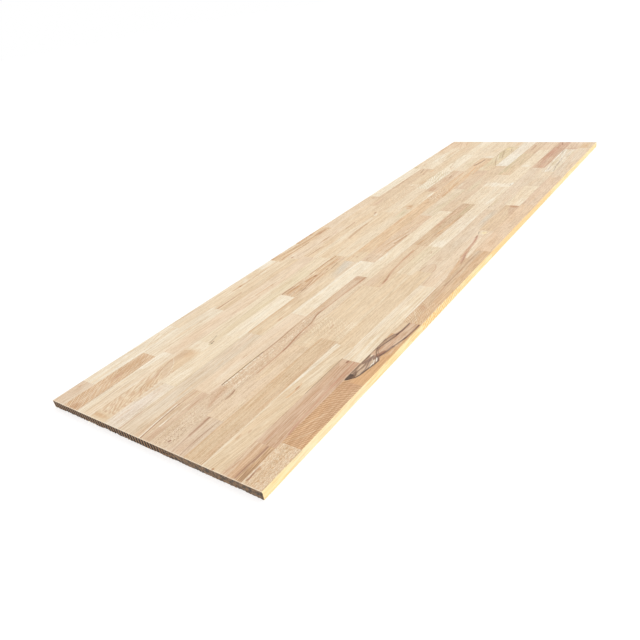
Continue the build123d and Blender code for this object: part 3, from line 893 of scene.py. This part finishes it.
              figure(0, 212, 16, "toffee", 0.5, 66, 0.9, 14, "tan", 0.3, 0.6),
              patch(122, 25, 18, 5, "brick", 0.5, -0.3), patch(10, 28, 12, 12, "bronze", 0.55),
              patch(160, 20, 60, 11, "toffee", 0.45, -0.3), patch(170, 43, 40, 3, "rose", 0.5),
              streak([(206, 0), (208.5, 20), (211, 46)], 1.2, "milk", 0.4, 0.4), specks=1.4),
        stave("pearl", lines(212, 437, 3.4, "tan", 0.6, 0, "cream", 0.5),
              streak([(212, 27), (300, 28.5), (400, 27)], 2.0, "tan", 0.9, 0.6),
              streak([(212, 21), (320, 22)], 1.8, "cream", 0.7),
              streak([(240, 34), (360, 33)], 2, "milk", 0.7),
              streak([(390, 44), (430, 40)], 2.4, "milk", 0.7),
              streak([(260, 11), (330, 13)], 1.8, "cream", 0.6)),
        stave("wheat", patch(620, 24, 130, 18, "cream", 0.4),
              streak([(437, 22), (480, 22.5), (532, 21)], 3.8, "bronze", 1.0, 0.6),
              streak([(438, 23), (470, 23), (506, 22)], 2.0, "chestnut", 0.75, 0.6),
              band(-5, 15, "cream", 0.4), patch(442, 8, 7, 4, "ivory", 0.8),
              fill([(437, 27), (700, 24)], [(437, 50), (700, 50)], "honey", 0.35),
              patch(640, 14, 80, 8, "honey", 0.3), lines(437, 755, 3.6, "honey", 0.6, 0.03, "cream", 0.4)),
        stave("peach", knot(760, 15, 7, 4, "sienna", 0.7),
              streak([(763, 34), (770, 26), (782, 20)], 2, "honey", 0.5), patch(776, 8, 14, 5, "milk", 0.7),
              streak([(776, 25), (820, 26), (868, 28)], 2.6, "russet", 0.8),
              patch(905, 35, 30, 5, "toffee", 0.75), streak([(940, 37), (975, 30)], 2.2, "bronze", 0.7),
              streak([(950, 42), (976, 37)], 2.2, "sienna", 0.6), seamOrHighlight(1000, 1190, 1.5, "blush", 0.6),
              turn(960, 1060, "wheat", 0.7), lines(790, 1200, 3.6, "tan", 0.5, 0.05, "milk", 0.4)),
        stave("tan", patch(1235, 28, 36, 6, "russet", 0.8), streak([(1200, 4), (1270, 3)], 3, "cream", 0.8),
              fill([(1275, -5), (1600, -5)], [(1275, 12), (1600, 8)], "clay", 0.6),
              streak([(1370, 4), (1430, 4), (1520, 3)], 3, "sienna", 0.6),
              lines(1200, 1615, 3.6, "clay", 0.6, 0.05, "wheat", 0.5),
              streak([(1450, 40), (1540, 32)], 4, "honey", 0.5),
              streak([(1556, 24), (1612, 10)], 3, "chestnut", 0.5),
              streak([(1540, 42), (1606, 30)], 3, "sienna", 0.6)),
        stave("cream", patch(1825, 32, 40, 9, "tan", 0.9), patch(1776, 38, 30, 5, "olive", 0.7),
              streak([(1740, 40), (1800, 34)], 3, "honey", 0.6), patch(1760, 10, 70, 7, "ivory", 0.7),
              turn(1850, 1960, "blush", 0.8), seamOrHighlight(1900, 1980, 2, "toffee", 0.6, 2),
              streak([(1880, 40), (1930, 22), (1980, 6)], 2.4, "toffee", 0.6),
              streak([(1930, 46), (1990, 26)], 2.4, "toffee", 0.6)),
    ],
    "stave_row_13": [
        stave("shell", knot(60, 13, 7, 3, "sienna", 0.6), patch(46, 28, 14, 9, "clay", 0.6),
              patch(20, 30, 20, 7, "greige", 0.4),
              fill([(0, 26), (30, 30), (77, 26)], [(0, 60), (77, 60)], "greige", 0.6),
              streak([(4, 30), (24, 32), (44, 36)], 2.0, "clay", 0.9),
              lines(0, 77, 3.2, "clay", 0.7, 0.0, "peach", 0.5), specks=1.5),
        stave("pearl", lines(77, 328, 3.4, "wheat", 0.6, 0.04, "ivory", 0.6),
              streak([(150, 22), (170, 16), (194, 11)], 4.0, "ivory", 0.9),
              streak([(222, 34), (240, 27), (264, 18), (290, 9)], 1.8, "honey", 0.9, 0.9),
              streak([(250, 34), (276, 26), (300, 20), (324, 14)], 1.6, "honey", 0.6, 1.2),
              streak([(284, 31), (324, 22)], 1.8, "honey", 0.8),
              streak([(202, 9), (218, 5)], 2.0, "honey", 0.8),
              streak([(184, 40), (206, 26)], 2.2, "wheat", 0.6), patch(320, 28, 6, 5, "tan", 0.6),
              streak([(170, 38), (250, 38), (326, 37)], 3.0, "ivory", 0.8), specks=1.4),
        stave("oat", patch(385, 22, 60, 30, "greige", 0.4), patch(420, 10, 70, 8, "rose", 0.4),
              lines(328, 560, 4, "wheat", 0.5, 0.04, "milk", 0.5), patch(470, 26, 40, 10, "wheat", 0.5),
              streak([(528, 31), (556, 33), (600, 33)], 3.8, "toffee", 0.7),
              knot(559, 33, 8, 2.8, "bronze", 0.85),
              streak([(610, 33), (650, 31), (724, 31)], 2.4, "toffee", 0.7),
              patch(590, 22, 14, 9, "ivory", 0.8, -0.6),
              fill([(664, -4), (724, -4)], [(664, 22), (724, 22)], "ivory", 0.85),
              patch(630, 14, 26, 8, "wheat", 0.6), streak([(640, 37), (724, 37)], 2.2, "ivory", 0.8),
              seamOrHighlight(540, 660, 41, "ivory", 0.7)),
        stave("wheat",
              streak([(725, 8), (770, 11), (830, 18), (880, 24), (930, 26), (988, 32)], 3.6, "bronze", 0.75,
                     0.9),
              streak([(725, 14), (780, 19), (860, 28), (940, 34)], 2.6, "toffee", 0.65, 0.9),
              streak([(725, 3), (775, 3)], 2.6, "bronze", 0.8, 0.8),
              fill([(772, -5), (848, -5)], [(772, 3), (800, 9), (848, 14)], "milk", 0.95),
              fill([(850, -5), (940, -5)], [(850, 13), (940, 12)], "toffee", 0.6),
              streak([(850, 4), (900, 3), (940, 3)], 2.6, "bronze", 0.8, 1, 9),
              knot(924, 5, 9, 2.6, "chestnut", 0.7), patch(945, 26, 30, 8, "sienna", 0.7, 0.1),
              knot(943, 30, 9, 3, "chestnut", 0.5),
              streak([(735, 35), (800, 35), (870, 37)], 2.8, "bronze", 0.75),
              streak([(725, 26), (790, 28), (840, 33)], 2.4, "cream", 0.9),
              patch(968, 12, 16, 6, "wheat", 0.5), lines(725, 990, 2.8, "toffee", 0.6, -0.08, "wheat", 0.6),
              grainLines=1.3),
        stave("peach", streak([(1004, 9), (1130, 10)], 3, "honey", 0.6),
              figure(1100, 1260, 16, "tan", 0.5, 70), knot(1275, 26, 10, 5, "chestnut", 0.6),
              patch(1274, 34, 14, 5, "sienna", 0.6), turn(1180, 1250, "tan", 0.4),
              seamOrHighlight(990, 1280, 2, "blush", 0.6), lines(990, 1287, 3.6, "tan", 0.5, 0.02, "milk", 0.4)),
        stave("milk", patch(1330, 20, 40, 20, "cream", 0.4), rings=0.6),
        stave("oat", patch(1624, 12, 14, 6, "olive", 0.9), patch(1665, 30, 24, 6, "tan", 0.9),
              turn(1680, 1700, "oat", 0.5), turn(1790, 1880, "blush", 0.6),
              seamOrHighlight(1850, 1985, 3, "toffee", 0.8, 2.5),
              streak([(1830, 16), (1900, 10), (1980, 6)], 4, "amber", 0.5),
              lines(1800, 2000, 4, "toffee", 0.4, 0.08, "wheat", 0.4)),
    ],
}


markLook = {  # mm, and shares of a mark's own width or reach
    "hidden": (30, 2),  # a mark is weaker deep below the show face
    "streakEdge": (1.15, 0.2),
    "streakFray": 1.8,
    "patchFray": 1.3,
    "fillEdge": 1.2,
    "fillFray": 4,
    "seamEdge": (1.1, 0.3),
    "seamFray": 0.8,
    "turnFray": 60,
    "bandFray": 8,
    "blotchEdge": (0.3, 0.55),
    "blotched": 0.4,  # share of a streak that fades with the blotches
    "breakEdge": (0.42, 0.5),
    "regionFray": 8,
    "sideFray": 6,
    "figureDrift": 5,
    "figureHeight": 0.16,
    "figureFray": 0.25,
    "dashEdge": (0.12, -0.1),
    "darkLines": (0.48, 0.62),
    "paleLines": (0.47, 0.34),
}


def drawMark(finish, mark, place, straight, fibre, blotch, colour):
    kind = mark["kind"]
    strength = mark["strength"]
    along, across, depth = place
    tone = linear(mark["tone"])
    loose = fibre - 0.5
    fades = depth.ramp(*markLook["hidden"])
    if kind == "streak":
        points = mark["points"]
        off = abs(straight - finish.follow(along, points)) / mark["width"]
        off = off + loose * (markLook["streakFray"] * mark["ragged"])
        mask = off.ramp(*markLook["streakEdge"]) * along.within(points[0][0], points[-1][0], 3)
        blotched = markLook["blotched"]
        mask = mask * (blotch.ramp(*markLook["blotchEdge"]) * blotched + (1 - blotched))
        if mark["broken"]:
            pieces = finish.noise(finish.combine(along / mark["broken"], 0, points[0][0]), 1.0, 1.0)
            mask = mask * pieces.ramp(*markLook["breakEdge"])
    elif kind == "patch":
        reach, width = mark["size"]
        away = (along - mark["at"][0]) / reach
        side = (straight - mark["at"][1]) / width - away * mark["tilt"]
        off = (away * away + side * side).math("SQRT") + loose * markLook["patchFray"]
        mask = off.ramp(*mark["soft"])
    elif kind == "fill":
        upper, lower = mark["upper"], mark["lower"]
        edge, fray = markLook["fillEdge"], markLook["fillFray"]
        above = (straight - finish.follow(along, upper) + loose * fray).ramp(-edge, edge)
        below = (finish.follow(along, lower) - straight + loose * fray).ramp(-edge, edge)
        mask = above * below * along.within(upper[0][0], upper[-1][0], 2)
    elif kind == "seamOrHighlight":
        off = abs(across - mark["across"]) / mark["width"] + loose * markLook["seamFray"]
        mask = off.ramp(*markLook["seamEdge"]) * along.within(*mark["span"], 3)
    elif kind == "turn":
        mask = (along + loose * markLook["turnFray"]).ramp(*mark["span"])
    elif kind == "band":
        mask = (straight + loose * markLook["bandFray"]).within(*mark["sides"], 2)
    else:
        start, end = mark["span"]
        region = (along + loose * markLook["regionFray"]).within(start, end, 2)
        if kind == "figure":
            height = ((panel["staveWidth"] - straight) / panel["staveWidth"]).math("MAXIMUM", 0.001)
            lean = (along - start) * (mark["fan"] / 100) + mark["rise"]
            phase = (along - height.math("POWER", mark["power"]) * lean) / mark["pitch"]
            drift = finish.noise(finish.combine(phase / 4, height * 2, start / 10), 1.0, 2.0)
            phase = phase + drift * (markLook["figureDrift"] * mark["rough"])
            waves = (phase * tau).math("SINE") * markLook["figureHeight"] + 0.5
            waves = waves + loose * markLook["figureFray"]
        elif kind == "lines":
            region = region * (straight + loose * markLook["sideFray"]).within(*mark["sides"], 1.5)
            slant = straight + (along - start) * mark["slope"]
            length = mark["pitch"] * mark["reach"]
            where = finish.combine(along / length, slant / mark["pitch"], start / 10)
            waves = finish.noise(where, 1.0, 2.0, 0.6)
        else:
            region = region * straight.within(*mark["sides"], 1)
            length, width = mark["size"]
            where = finish.combine(along / length, straight / width, start / 10)
            none, full = (mark["share"] + reach for reach in markLook["dashEdge"])
            spots = finish.cells(where).ramp(none, full)
            return finish.mix(spots * region * fades * strength, colour, tone)
        pale = waves.ramp(*markLook["paleLines"]) * region * fades * mark["light"]
        colour = finish.mix(pale, colour, linear(mark["pale"]))
        mask = waves.ramp(*markLook["darkLines"]) * region
    return finish.mix(mask * fades * strength, colour, tone)


# What the face attribute "surface" says of a face
planed, edged, nearCut, farCut, splinter = 0.0, 1.0, 2.0, 3.0, 4.0

edgeLook = {  # along the panel from its near end, mm
    "tone": "butter",
    "streakTone": "apricot",
    "streaks": 0.8,
    "streakLength": 48,
    "streakHeight": 4.5,
    "stripeTone": "marigold",  # slanting figure on part of the edge
    "stripes": 0.8,
    "stripeStart": 545,
    "stripeFull": 655,
    "stripeEnd": 860,
    "stripePitch": 17.0,
    "stripeLean": 11,
    "stripeWander": 1.5,
    "warm": 0.6,
    "warmStart": 942,
    "warmEnd": 1420,
    "paleTone": "ivory",
    "pale": 0.24,
    "paleStart": 40,
    "paleEnd": 290,
    "fade": 60,
}
sawnLook = {  # across the near end from its left corner, mm
    "dark": "sawnDark",
    "pale": "sawnPale",
    "grey": "sawnGrey",
    "toothPitch": 8.6,
    "toothedTo": 350,
    "toothedFade": 40,
    "toothedShade": 0.17,
    "shadeEnds": (340, 400),
    "mottleWidth": 9,
    "mottleHeight": 7,
    "mottled": 0.8,
    "greyFrom": (340, 430),
    "greyed": 0.4,
    "splinterTone": "splinterTip",
}
planedLook = {
    "roughness": 0.55,
    "roughnessRange": 0.14,
    "bumpHeight": 0.00005,
    "ior": 1.45,
    "shine": 0.3,
    "rimHighlightTone": "ivory",  # a painted highlight along the near end's upper arris
    "rimHighlight": 0.4,
    "rimHighlightEnds": (2.3, 0.9),
}


def longEdge(finish, along, down, fibre, ring):
    # The long edges are much yellower and brighter than the faces
    bandsAt = finish.combine(along / edgeLook["streakLength"], down / edgeLook["streakHeight"], 2)
    bands = finish.noise(bandsAt, 1.0, 2.0, 0.6)
    streaks = (bands + (fibre - 0.5) * 0.4 + ring * 0.1).ramp(0.46, 0.7) * edgeLook["streaks"]
    colour = finish.mix(streaks, linear(edgeLook["tone"]), linear(edgeLook["streakTone"]))
    reach = along.ramp(edgeLook["stripeStart"] - 2, edgeLook["stripeStart"] + 3)
    reach = reach * along.ramp(edgeLook["stripeEnd"], edgeLook["stripeFull"])
    turns = along / edgeLook["stripePitch"] + down / edgeLook["stripeLean"]
    turns = turns + bands * edgeLook["stripeWander"]
    stripes = (turns * tau).math("SINE").ramp(-0.1, 0.7) * reach * edgeLook["stripes"]
    warm = along.ramp(edgeLook["warmStart"], edgeLook["warmStart"] + 2)
    warm = warm * along.ramp(edgeLook["warmEnd"] + edgeLook["fade"], edgeLook["warmEnd"]) * edgeLook["warm"]
    colour = finish.mix(warm, colour, linear(edgeLook["streakTone"]))
    pale = along.ramp(edgeLook["paleStart"], edgeLook["paleStart"] + edgeLook["fade"]) * edgeLook["pale"]
    pale = pale * along.ramp(edgeLook["paleEnd"] + edgeLook["fade"], edgeLook["paleEnd"])
    colour = finish.mix(pale, colour, linear(edgeLook["paleTone"]))
    return finish.mix(stripes, colour, linear(edgeLook["stripeTone"]))


def sawnEnd(finish, across, up):
    # The near end is much darker than the faces. The saw left upright stripes along part of it.
    teeth = (across * (tau / sawnLook["toothPitch"])).math("SINE")
    mottleAt = finish.combine(across / sawnLook["mottleWidth"], up / sawnLook["mottleHeight"], 5)
    mottle = finish.noise(mottleAt, 1.0, 3.0, 0.65)
    last, fade = sawnLook["toothedTo"], sawnLook["toothedFade"]
    toothed = across.ramp(last + fade, last - fade)
    striped = (teeth + (mottle - 0.5) * 1.4).ramp(0.2, 0.5)
    rough = mottle.ramp(0.38, 0.62) * sawnLook["mottled"]
    pale = rough + (striped - rough) * toothed
    colour = finish.mix(pale, linear(sawnLook["dark"]), linear(sawnLook["pale"]))
    greyed = across.ramp(*sawnLook["greyFrom"]) * sawnLook["greyed"]
    colour = finish.mix(greyed, colour, linear(sawnLook["grey"]))
    shaded = (1 - across.ramp(*sawnLook["shadeEnds"])) * sawnLook["toothedShade"]
    return finish.mix(shaded, colour, linear(sawnLook["dark"]))


def makeCuts():
    # What each kind of face adds to the wood: planed faces, long edges, sawn and cut ends
    finish, given = newGroup("cutSurfaces", {
        "Colour": "Color", "Fibre": "Float", "Ring": "Float", "Fine": "Float",
    }, {"Colour": "Color", "Roughness": "Float", "Height": "Float"})
    surface = finish.node("ShaderNodeAttribute", {"attribute_name": "surface"})[2]
    coordinates = finish.node("ShaderNodeTexCoord")[3]
    corner = (panel["toEnd"], panel["toLongEdge"], 0)
    place = finish.vector("MULTIPLY_ADD", coordinates, (perMetre, -perMetre, perMetre), corner)
    along, across, up = finish.node("ShaderNodeSeparateXYZ", {}, (place,))
    fibre, ring, fine = given["Fibre"], given["Ring"], given["Fine"]

    def on(kind):
        return surface.math("COMPARE", kind, 0.25)

    colour = given["Colour"]
    # Painted highlight: a pale line on the top face along the near end's upper arris
    rimHighlight = (along + (fine - 0.5) * 1.5).ramp(*planedLook["rimHighlightEnds"]) * on(planed) * planedLook["rimHighlight"]
    colour = finish.mix(rimHighlight, colour, linear(planedLook["rimHighlightTone"]))
    colour = finish.mix(on(edged), colour, longEdge(finish, along, panel["thickness"] - up, fibre, ring))
    colour = finish.mix(on(nearCut), colour, sawnEnd(finish, across, up))
    endGrain = finish.mix(ring * 0.5 + (fine - 0.4) * 0.6, linear("fawn"), linear("sienna"))
    colour = finish.mix(on(farCut), colour, endGrain)
    colour = finish.mix(on(splinter), colour, linear(sawnLook["splinterTone"]))
    roughness = (fibre - 0.5) * planedLook["roughnessRange"] + planedLook["roughness"]
    height = fine * 0.7 + fibre * 0.3
    finish.node("NodeGroupOutput", {}, (colour, roughness, height))
    return finish.tree


def woodFinish(name, look, low, high, rowTop, chance):
    material, finish = newMaterial(name)

    def either(reach):
        return chance.uniform(-reach, reach)

    pithAngle = radians(chance.choice(grain["ringAngles"]) + either(grain["ringTurn"]))
    pithAway = chance.uniform(*grain["pithAway"])
    pitch = chance.uniform(*grain["ringPitch"])
    slope = either(grain["slope"])
    values = {
        "Corner": (panel["toEnd"], rowTop * perMetre, high.z * perMetre),
        "Seed": tuple(either(grain["seedReach"]) for _ in range(3)),
        "Pith": (0, 23 + pithAway * cos(pithAngle), 9 + pithAway * sin(pithAngle)),
        "Middle": (low.x + high.x) / 2 * perMetre + panel["toEnd"],
        "Slope": slope if look["slope"] is None else look["slope"] / 100,
        "Dip": either(grain["dip"]),
        "Lean": either(grain["lean"]),
        "Ring Scale": tau / 20 / pitch,
        "Rings": grain["ringShare"] * look["rings"],
        "Lines": grain["lineShare"] * look["lines"],
        "Specks": grain["speckShare"] * look["specks"],
    }
    shade, place, straight, fibre, ring, fine, blotch, flecks = finish.node(
        "ShaderNodeGroup", {"node_tree": grainGroup}, values)
    place = finish.node("ShaderNodeSeparateXYZ", {}, (place,))
    colour = linear(look["tone"])
    for mark in look["marks"]:
        colour = drawMark(finish, mark, place, straight, fibre, blotch, colour)
    colour = finish.mix(1.0, colour, shade, "MULTIPLY")
    flecked = flecks * (grain["fleckShare"] * look["flecks"])
    colour = finish.mix(flecked, colour, linear(grain["fleckTone"]))
    values = {"Colour": colour, "Fibre": fibre, "Ring": ring, "Fine": fine}
    colour, roughness, height = finish.node("ShaderNodeGroup", {"node_tree": cutsGroup}, values)
    bump = finish.node("ShaderNodeBump", {}, {"Height": height, "Distance": planedLook["bumpHeight"]})[0]
    shader = finish.node("ShaderNodeBsdfPrincipled", {}, {
        "Base Color": colour, "Roughness": roughness, "IOR": planedLook["ior"],
        "Specular IOR Level": planedLook["shine"], "Normal": bump})[0]
    finish.node("ShaderNodeOutputMaterial", {}, (shader,))
    return material


def boundsOf(verts):
    low = Vector(min(v.co[axis] for v in verts) for axis in range(3))
    high = Vector(max(v.co[axis] for v in verts) for axis in range(3))
    return low, high


def stavesOf(node):  # lowest and highest corner of every stave of a row, from the near end
    rowMesh = bmesh.new()
    rowMesh.from_mesh(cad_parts[node].data)
    bmesh.ops.remove_doubles(rowMesh, verts=rowMesh.verts, dist=1e-6)
    left = set(rowMesh.verts)
    found = []
    while left:
        island = {left.pop()}
        waiting = list(island)
        while waiting:
            vert = waiting.pop()
            for link in vert.link_edges:
                other = link.other_vert(vert)
                if other in left:
                    left.discard(other)
                    island.add(other)
                    waiting.append(other)
        found.append(boundsOf(island))
    rowMesh.free()
    return sorted(found, key=lambda box: box[0].x)


# The shapes are in metres, as the frame is
arris = {"longRadius": 0.001, "segments": 4, "endChamfer": 0.0005}
tear = {
    "depth": 0.012,  # how far back from the near end the mesh is cut fine
    "cutsBack": (0.0012, 0.003, 0.006),
    "across": 0.0012,
    "down": 0.0011,
    "endReach": 0.002,  # only this much next to the end moves back
    "lip": 0.0008,  # the upper arris stays whole
    "lipFade": 0.001,
    "groove": 0.0005,  # the saw's stripes
    "fray": 0.0004,
    "frayScale": 400,
    "foot": 0.0055,  # how far up from the underside it is torn
    "bite": 0.0030,  # how far back a torn spot goes
    "rise": 0.0010,  # and how far up
    "wholeShare": 0.35,  # the underside is torn less below this Y
    "wholeTo": 0.03,
    "least": 0.12,
    "slowScale": 38,
    "slow": 1.3,
    "fastScale": 260,
    "fast": 1.1,
    "tipLow": 0.0020,  # splinters show pale up to here
    "tipScale": 190,
    "tipShare": 0.36,
}
facing = {  # how far a face has to turn, and how near the outside it has to be
    "edge": 0.35,
    "edgeDepth": 0.0008,
    "near": -0.3,
    "rimDepth": 0.0004,
    "far": 0.9,
    "round": (0.02, 0.98),
    "level": 0.1,
}
tolerance = 1e-5


def shapeStave(name, low, high, cadLow, cadHigh):
    shape = bmesh.new()
    bmesh.ops.create_cube(shape, size=1)
    bmesh.ops.scale(shape, vec=high - low, verts=shape.verts)
    bmesh.ops.translate(shape, vec=(low + high) / 2, verts=shape.verts)

    def outside(axis):  # where the stave reaches the outside of the panel
        return [value for value, own in ((cadLow[axis], low[axis]), (cadHigh[axis], high[axis]))
                if abs(own - value) < tolerance]

    def edgesOn(axis, value):
        return [edge for edge in shape.edges
                if all(abs(vert.co[axis] - value) < tolerance for vert in edge.verts)
                and abs(edge.verts[0].co.z - edge.verts[1].co.z) < tolerance]

    for value in outside(1):
        bmesh.ops.bevel(shape, geom=edgesOn(1, value), offset=arris["longRadius"],
                        segments=arris["segments"], affect="EDGES", profile=0.5, material=-1)
    for value in outside(0):
        rims = [edge for edge in edgesOn(0, value)
                if edge.verts[0].co.z < low.z + tolerance or edge.verts[0].co.z > high.z - tolerance]
        bmesh.ops.bevel(shape, geom=rims, offset=arris["endChamfer"], segments=1,
                        affect="EDGES", profile=0.5, material=-1)
    near = abs(low.x - cadLow.x) < tolerance
    if near:
        tearNearEnd(shape, low, high)

    mark = shape.faces.layers.float.new("surface")
    for face in shape.faces:
        centre = face.calc_center_median()
        normal = face.normal
        face[mark] = planed
        sideways = any(abs(centre.y - side) < facing["edgeDepth"] for side in outside(1))
        if sideways and abs(normal.y) > facing["edge"]:
            face[mark] = edged
        elif near and normal.x < facing["near"] and centre.z < high.z - facing["rimDepth"]:
            face[mark] = nearCut
            tip = centre.z < tear["tipLow"] and centre.y > tear["wholeTo"]
            if tip and noise.noise(Vector((2, centre.y * tear["tipScale"], 0))) > tear["tipShare"]:
                face[mark] = splinter
        elif normal.x > facing["far"] and abs(centre.x - cadHigh.x) < tolerance:
            face[mark] = farCut
        least, most = facing["round"]
        face.smooth = least < abs(normal.y) < most and abs(normal.x) < facing["level"]
    mesh = bpy.data.meshes.new(name)
    shape.to_mesh(mesh)
    shape.free()
    piece = bpy.data.objects.new(name, mesh)
    bpy.context.scene.collection.objects.link(piece)
    return piece


def cuts(start, end, step):
    count = max(1, round((end - start) / step))
    return [start + (end - start) * number / count for number in range(1, count)]


def tornAt(y):  # how much of the lower edge is torn away here, 0 to 1
    slow = noise.noise(Vector((y * tear["slowScale"], 3, 0)))
    fast = noise.noise(Vector((y * tear["fastScale"], 7, 0)))
    share = 1.0 if y > tear["wholeTo"] else tear["wholeShare"]
    torn = tear["least"] + slow * tear["slow"] + fast * tear["fast"]
    return share * min(1.0, max(0.0, torn))


def tearNearEnd(shape, low, high):
    def cutAt(axis, value):
        normal = Vector((axis == 0, axis == 1, axis == 2))
        bmesh.ops.bisect_plane(shape, geom=shape.verts[:] + shape.edges[:] + shape.faces[:],
                               plane_co=normal * value, plane_no=normal)

    for back in (*tear["cutsBack"], tear["depth"]):
        cutAt(0, low.x + back)
    for value in cuts(low.y, high.y, tear["across"]):
        cutAt(1, value)
    for value in cuts(low.z, high.z, tear["down"]):
        cutAt(2, value)
    for vert in shape.verts:
        back = vert.co.x - low.x
        if back > tear["depth"] - tolerance:
            continue
        up = vert.co.z - low.z
        reach = 1 - back / tear["depth"]
        below = min(1.0, max(0.0, (high.z - tear["lip"] - vert.co.z) / tear["lipFade"]))
        atEnd = max(0.0, 1 - back / tear["endReach"])
        across = panel["toLongEdge"] - vert.co.y * perMetre
        stripe = 0.5 - 0.5 * sin(across * tau / sawnLook["toothPitch"])
        scale = tear["frayScale"]
        fray = max(0.0, noise.noise(Vector((9, vert.co.y * scale, vert.co.z * scale))))
        torn = tornAt(vert.co.y)
        foot = max(0.0, 1 - up / tear["foot"])
        vert.co.x += atEnd * below * (tear["groove"] * stripe + tear["fray"] * fray)
        vert.co.x += atEnd * tear["bite"] * torn * foot ** 2
        vert.co.z += tear["rise"] * torn * foot * reach ** 3


# Pieces
print("making the staves")
grainGroup = makeGrain()
cutsGroup = makeCuts()
cadLow = Vector(cadBounds[0])
cadHigh = Vector(cadBounds[1])
staveCount = 0
for node, looks in rowLooks.items():
    boxes = stavesOf(node)
    rowTop = max(box[1].y for box in boxes)
    if len(boxes) != len(looks):
        raise ValueError(f"{node} has {len(boxes)} staves and {len(looks)} looks")
    for number, ((low, high), look) in enumerate(zip(boxes, looks), 1):
        name = f"{node.replace('stave_row', 'stave')}_{number:02d}"
        chance = random.Random(name)
        piece = shapeStave(name, low, high, cadLow, cadHigh)
        wood = woodFinish(f"wood_{name[6:]}", look, low, high, rowTop, chance)
        piece.data.materials.append(wood)
        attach(piece, "root")
        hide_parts(node)
        staveCount += 1
print("staves made:", staveCount)

# Room, light and camera
room = {"floorColour": (0.92, 0.92, 0.92), "floorSize": 60.0, "floorGlow": 0.14, "world": 0.615}
sun = {"from": (-0.42, -0.5, 0.76), "strength": 1.79, "angle": 30.0}


def makeFloor():
    shape = bmesh.new()
    bmesh.ops.create_grid(shape, x_segments=1, y_segments=1, size=room["floorSize"] / 2)
    mesh = bpy.data.meshes.new("floor")
    shape.to_mesh(mesh)
    shape.free()
    floor = bpy.data.objects.new("floor", mesh)
    bpy.context.scene.collection.objects.link(floor)
    material, finish = newMaterial("paleFloor")
    diffuse = finish.node("ShaderNodeBsdfDiffuse", {}, {"Color": room["floorColour"]})[0]
    rays = finish.node("ShaderNodeLightPath")
    seen = rays[0].math("MAXIMUM", rays[3])
    glow = finish.node("ShaderNodeEmission", {}, {"Strength": seen * room["floorGlow"]})[0]
    both = finish.node("ShaderNodeAddShader", {}, (diffuse, glow))[0]
    finish.node("ShaderNodeOutputMaterial", {}, (both,))
    mesh.materials.append(material)


def lightRoom():
    world = bpy.data.worlds.new("paleRoom")
    bpy.context.scene.world = world
    world.use_nodes = True
    finish = Finish(world.node_tree)
    rays = finish.node("ShaderNodeLightPath")
    seen = rays[0].math("MAXIMUM", rays[3])
    strength = seen * (1 - room["world"]) + room["world"]
    back = finish.node("ShaderNodeBackground", {}, {"Color": (1, 1, 1), "Strength": strength})[0]
    finish.node("ShaderNodeOutputWorld", {}, (back,))
    light = bpy.data.lights.new("softSun", "SUN")
    light.energy = sun["strength"]
    light.angle = radians(sun["angle"])
    holder = bpy.data.objects.new("softSun", light)
    holder.rotation_euler = Vector(sun["from"]).to_track_quat("Z", "Y").to_euler()
    bpy.context.scene.collection.objects.link(holder)


view = {"at": (-1.4247, -0.8658, 0.6801), "aim": (-0.5263, -0.1427, 0.018), "roll": -9.825,
        "lens": 33.044, "shift": (-0.0405, 0.0121)}


def placeCamera():
    camera = bpy.data.cameras.new("camera")
    camera.lens = view["lens"]
    camera.sensor_width = 36.0
    camera.shift_x, camera.shift_y = view["shift"]
    camera.clip_start = 0.01
    holder = bpy.data.objects.new("camera", camera)
    forward = (Vector(view["aim"]) - Vector(view["at"])).normalized()
    levelRight = forward.cross(Vector((0, 0, 1))).normalized()
    levelUp = levelRight.cross(forward)
    roll = radians(view["roll"])
    right = levelRight * cos(roll) + levelUp * sin(roll)
    up = right.cross(forward)
    turned = Matrix((right, up, -forward)).transposed().to_4x4()
    holder.matrix_world = Matrix.Translation(view["at"]) @ turned
    bpy.context.scene.collection.objects.link(holder)
    bpy.context.scene.camera = holder


makeFloor()
lightRoom()
placeCamera()
bpy.context.scene.view_settings.view_transform = "Standard"
print("room, light and camera set")
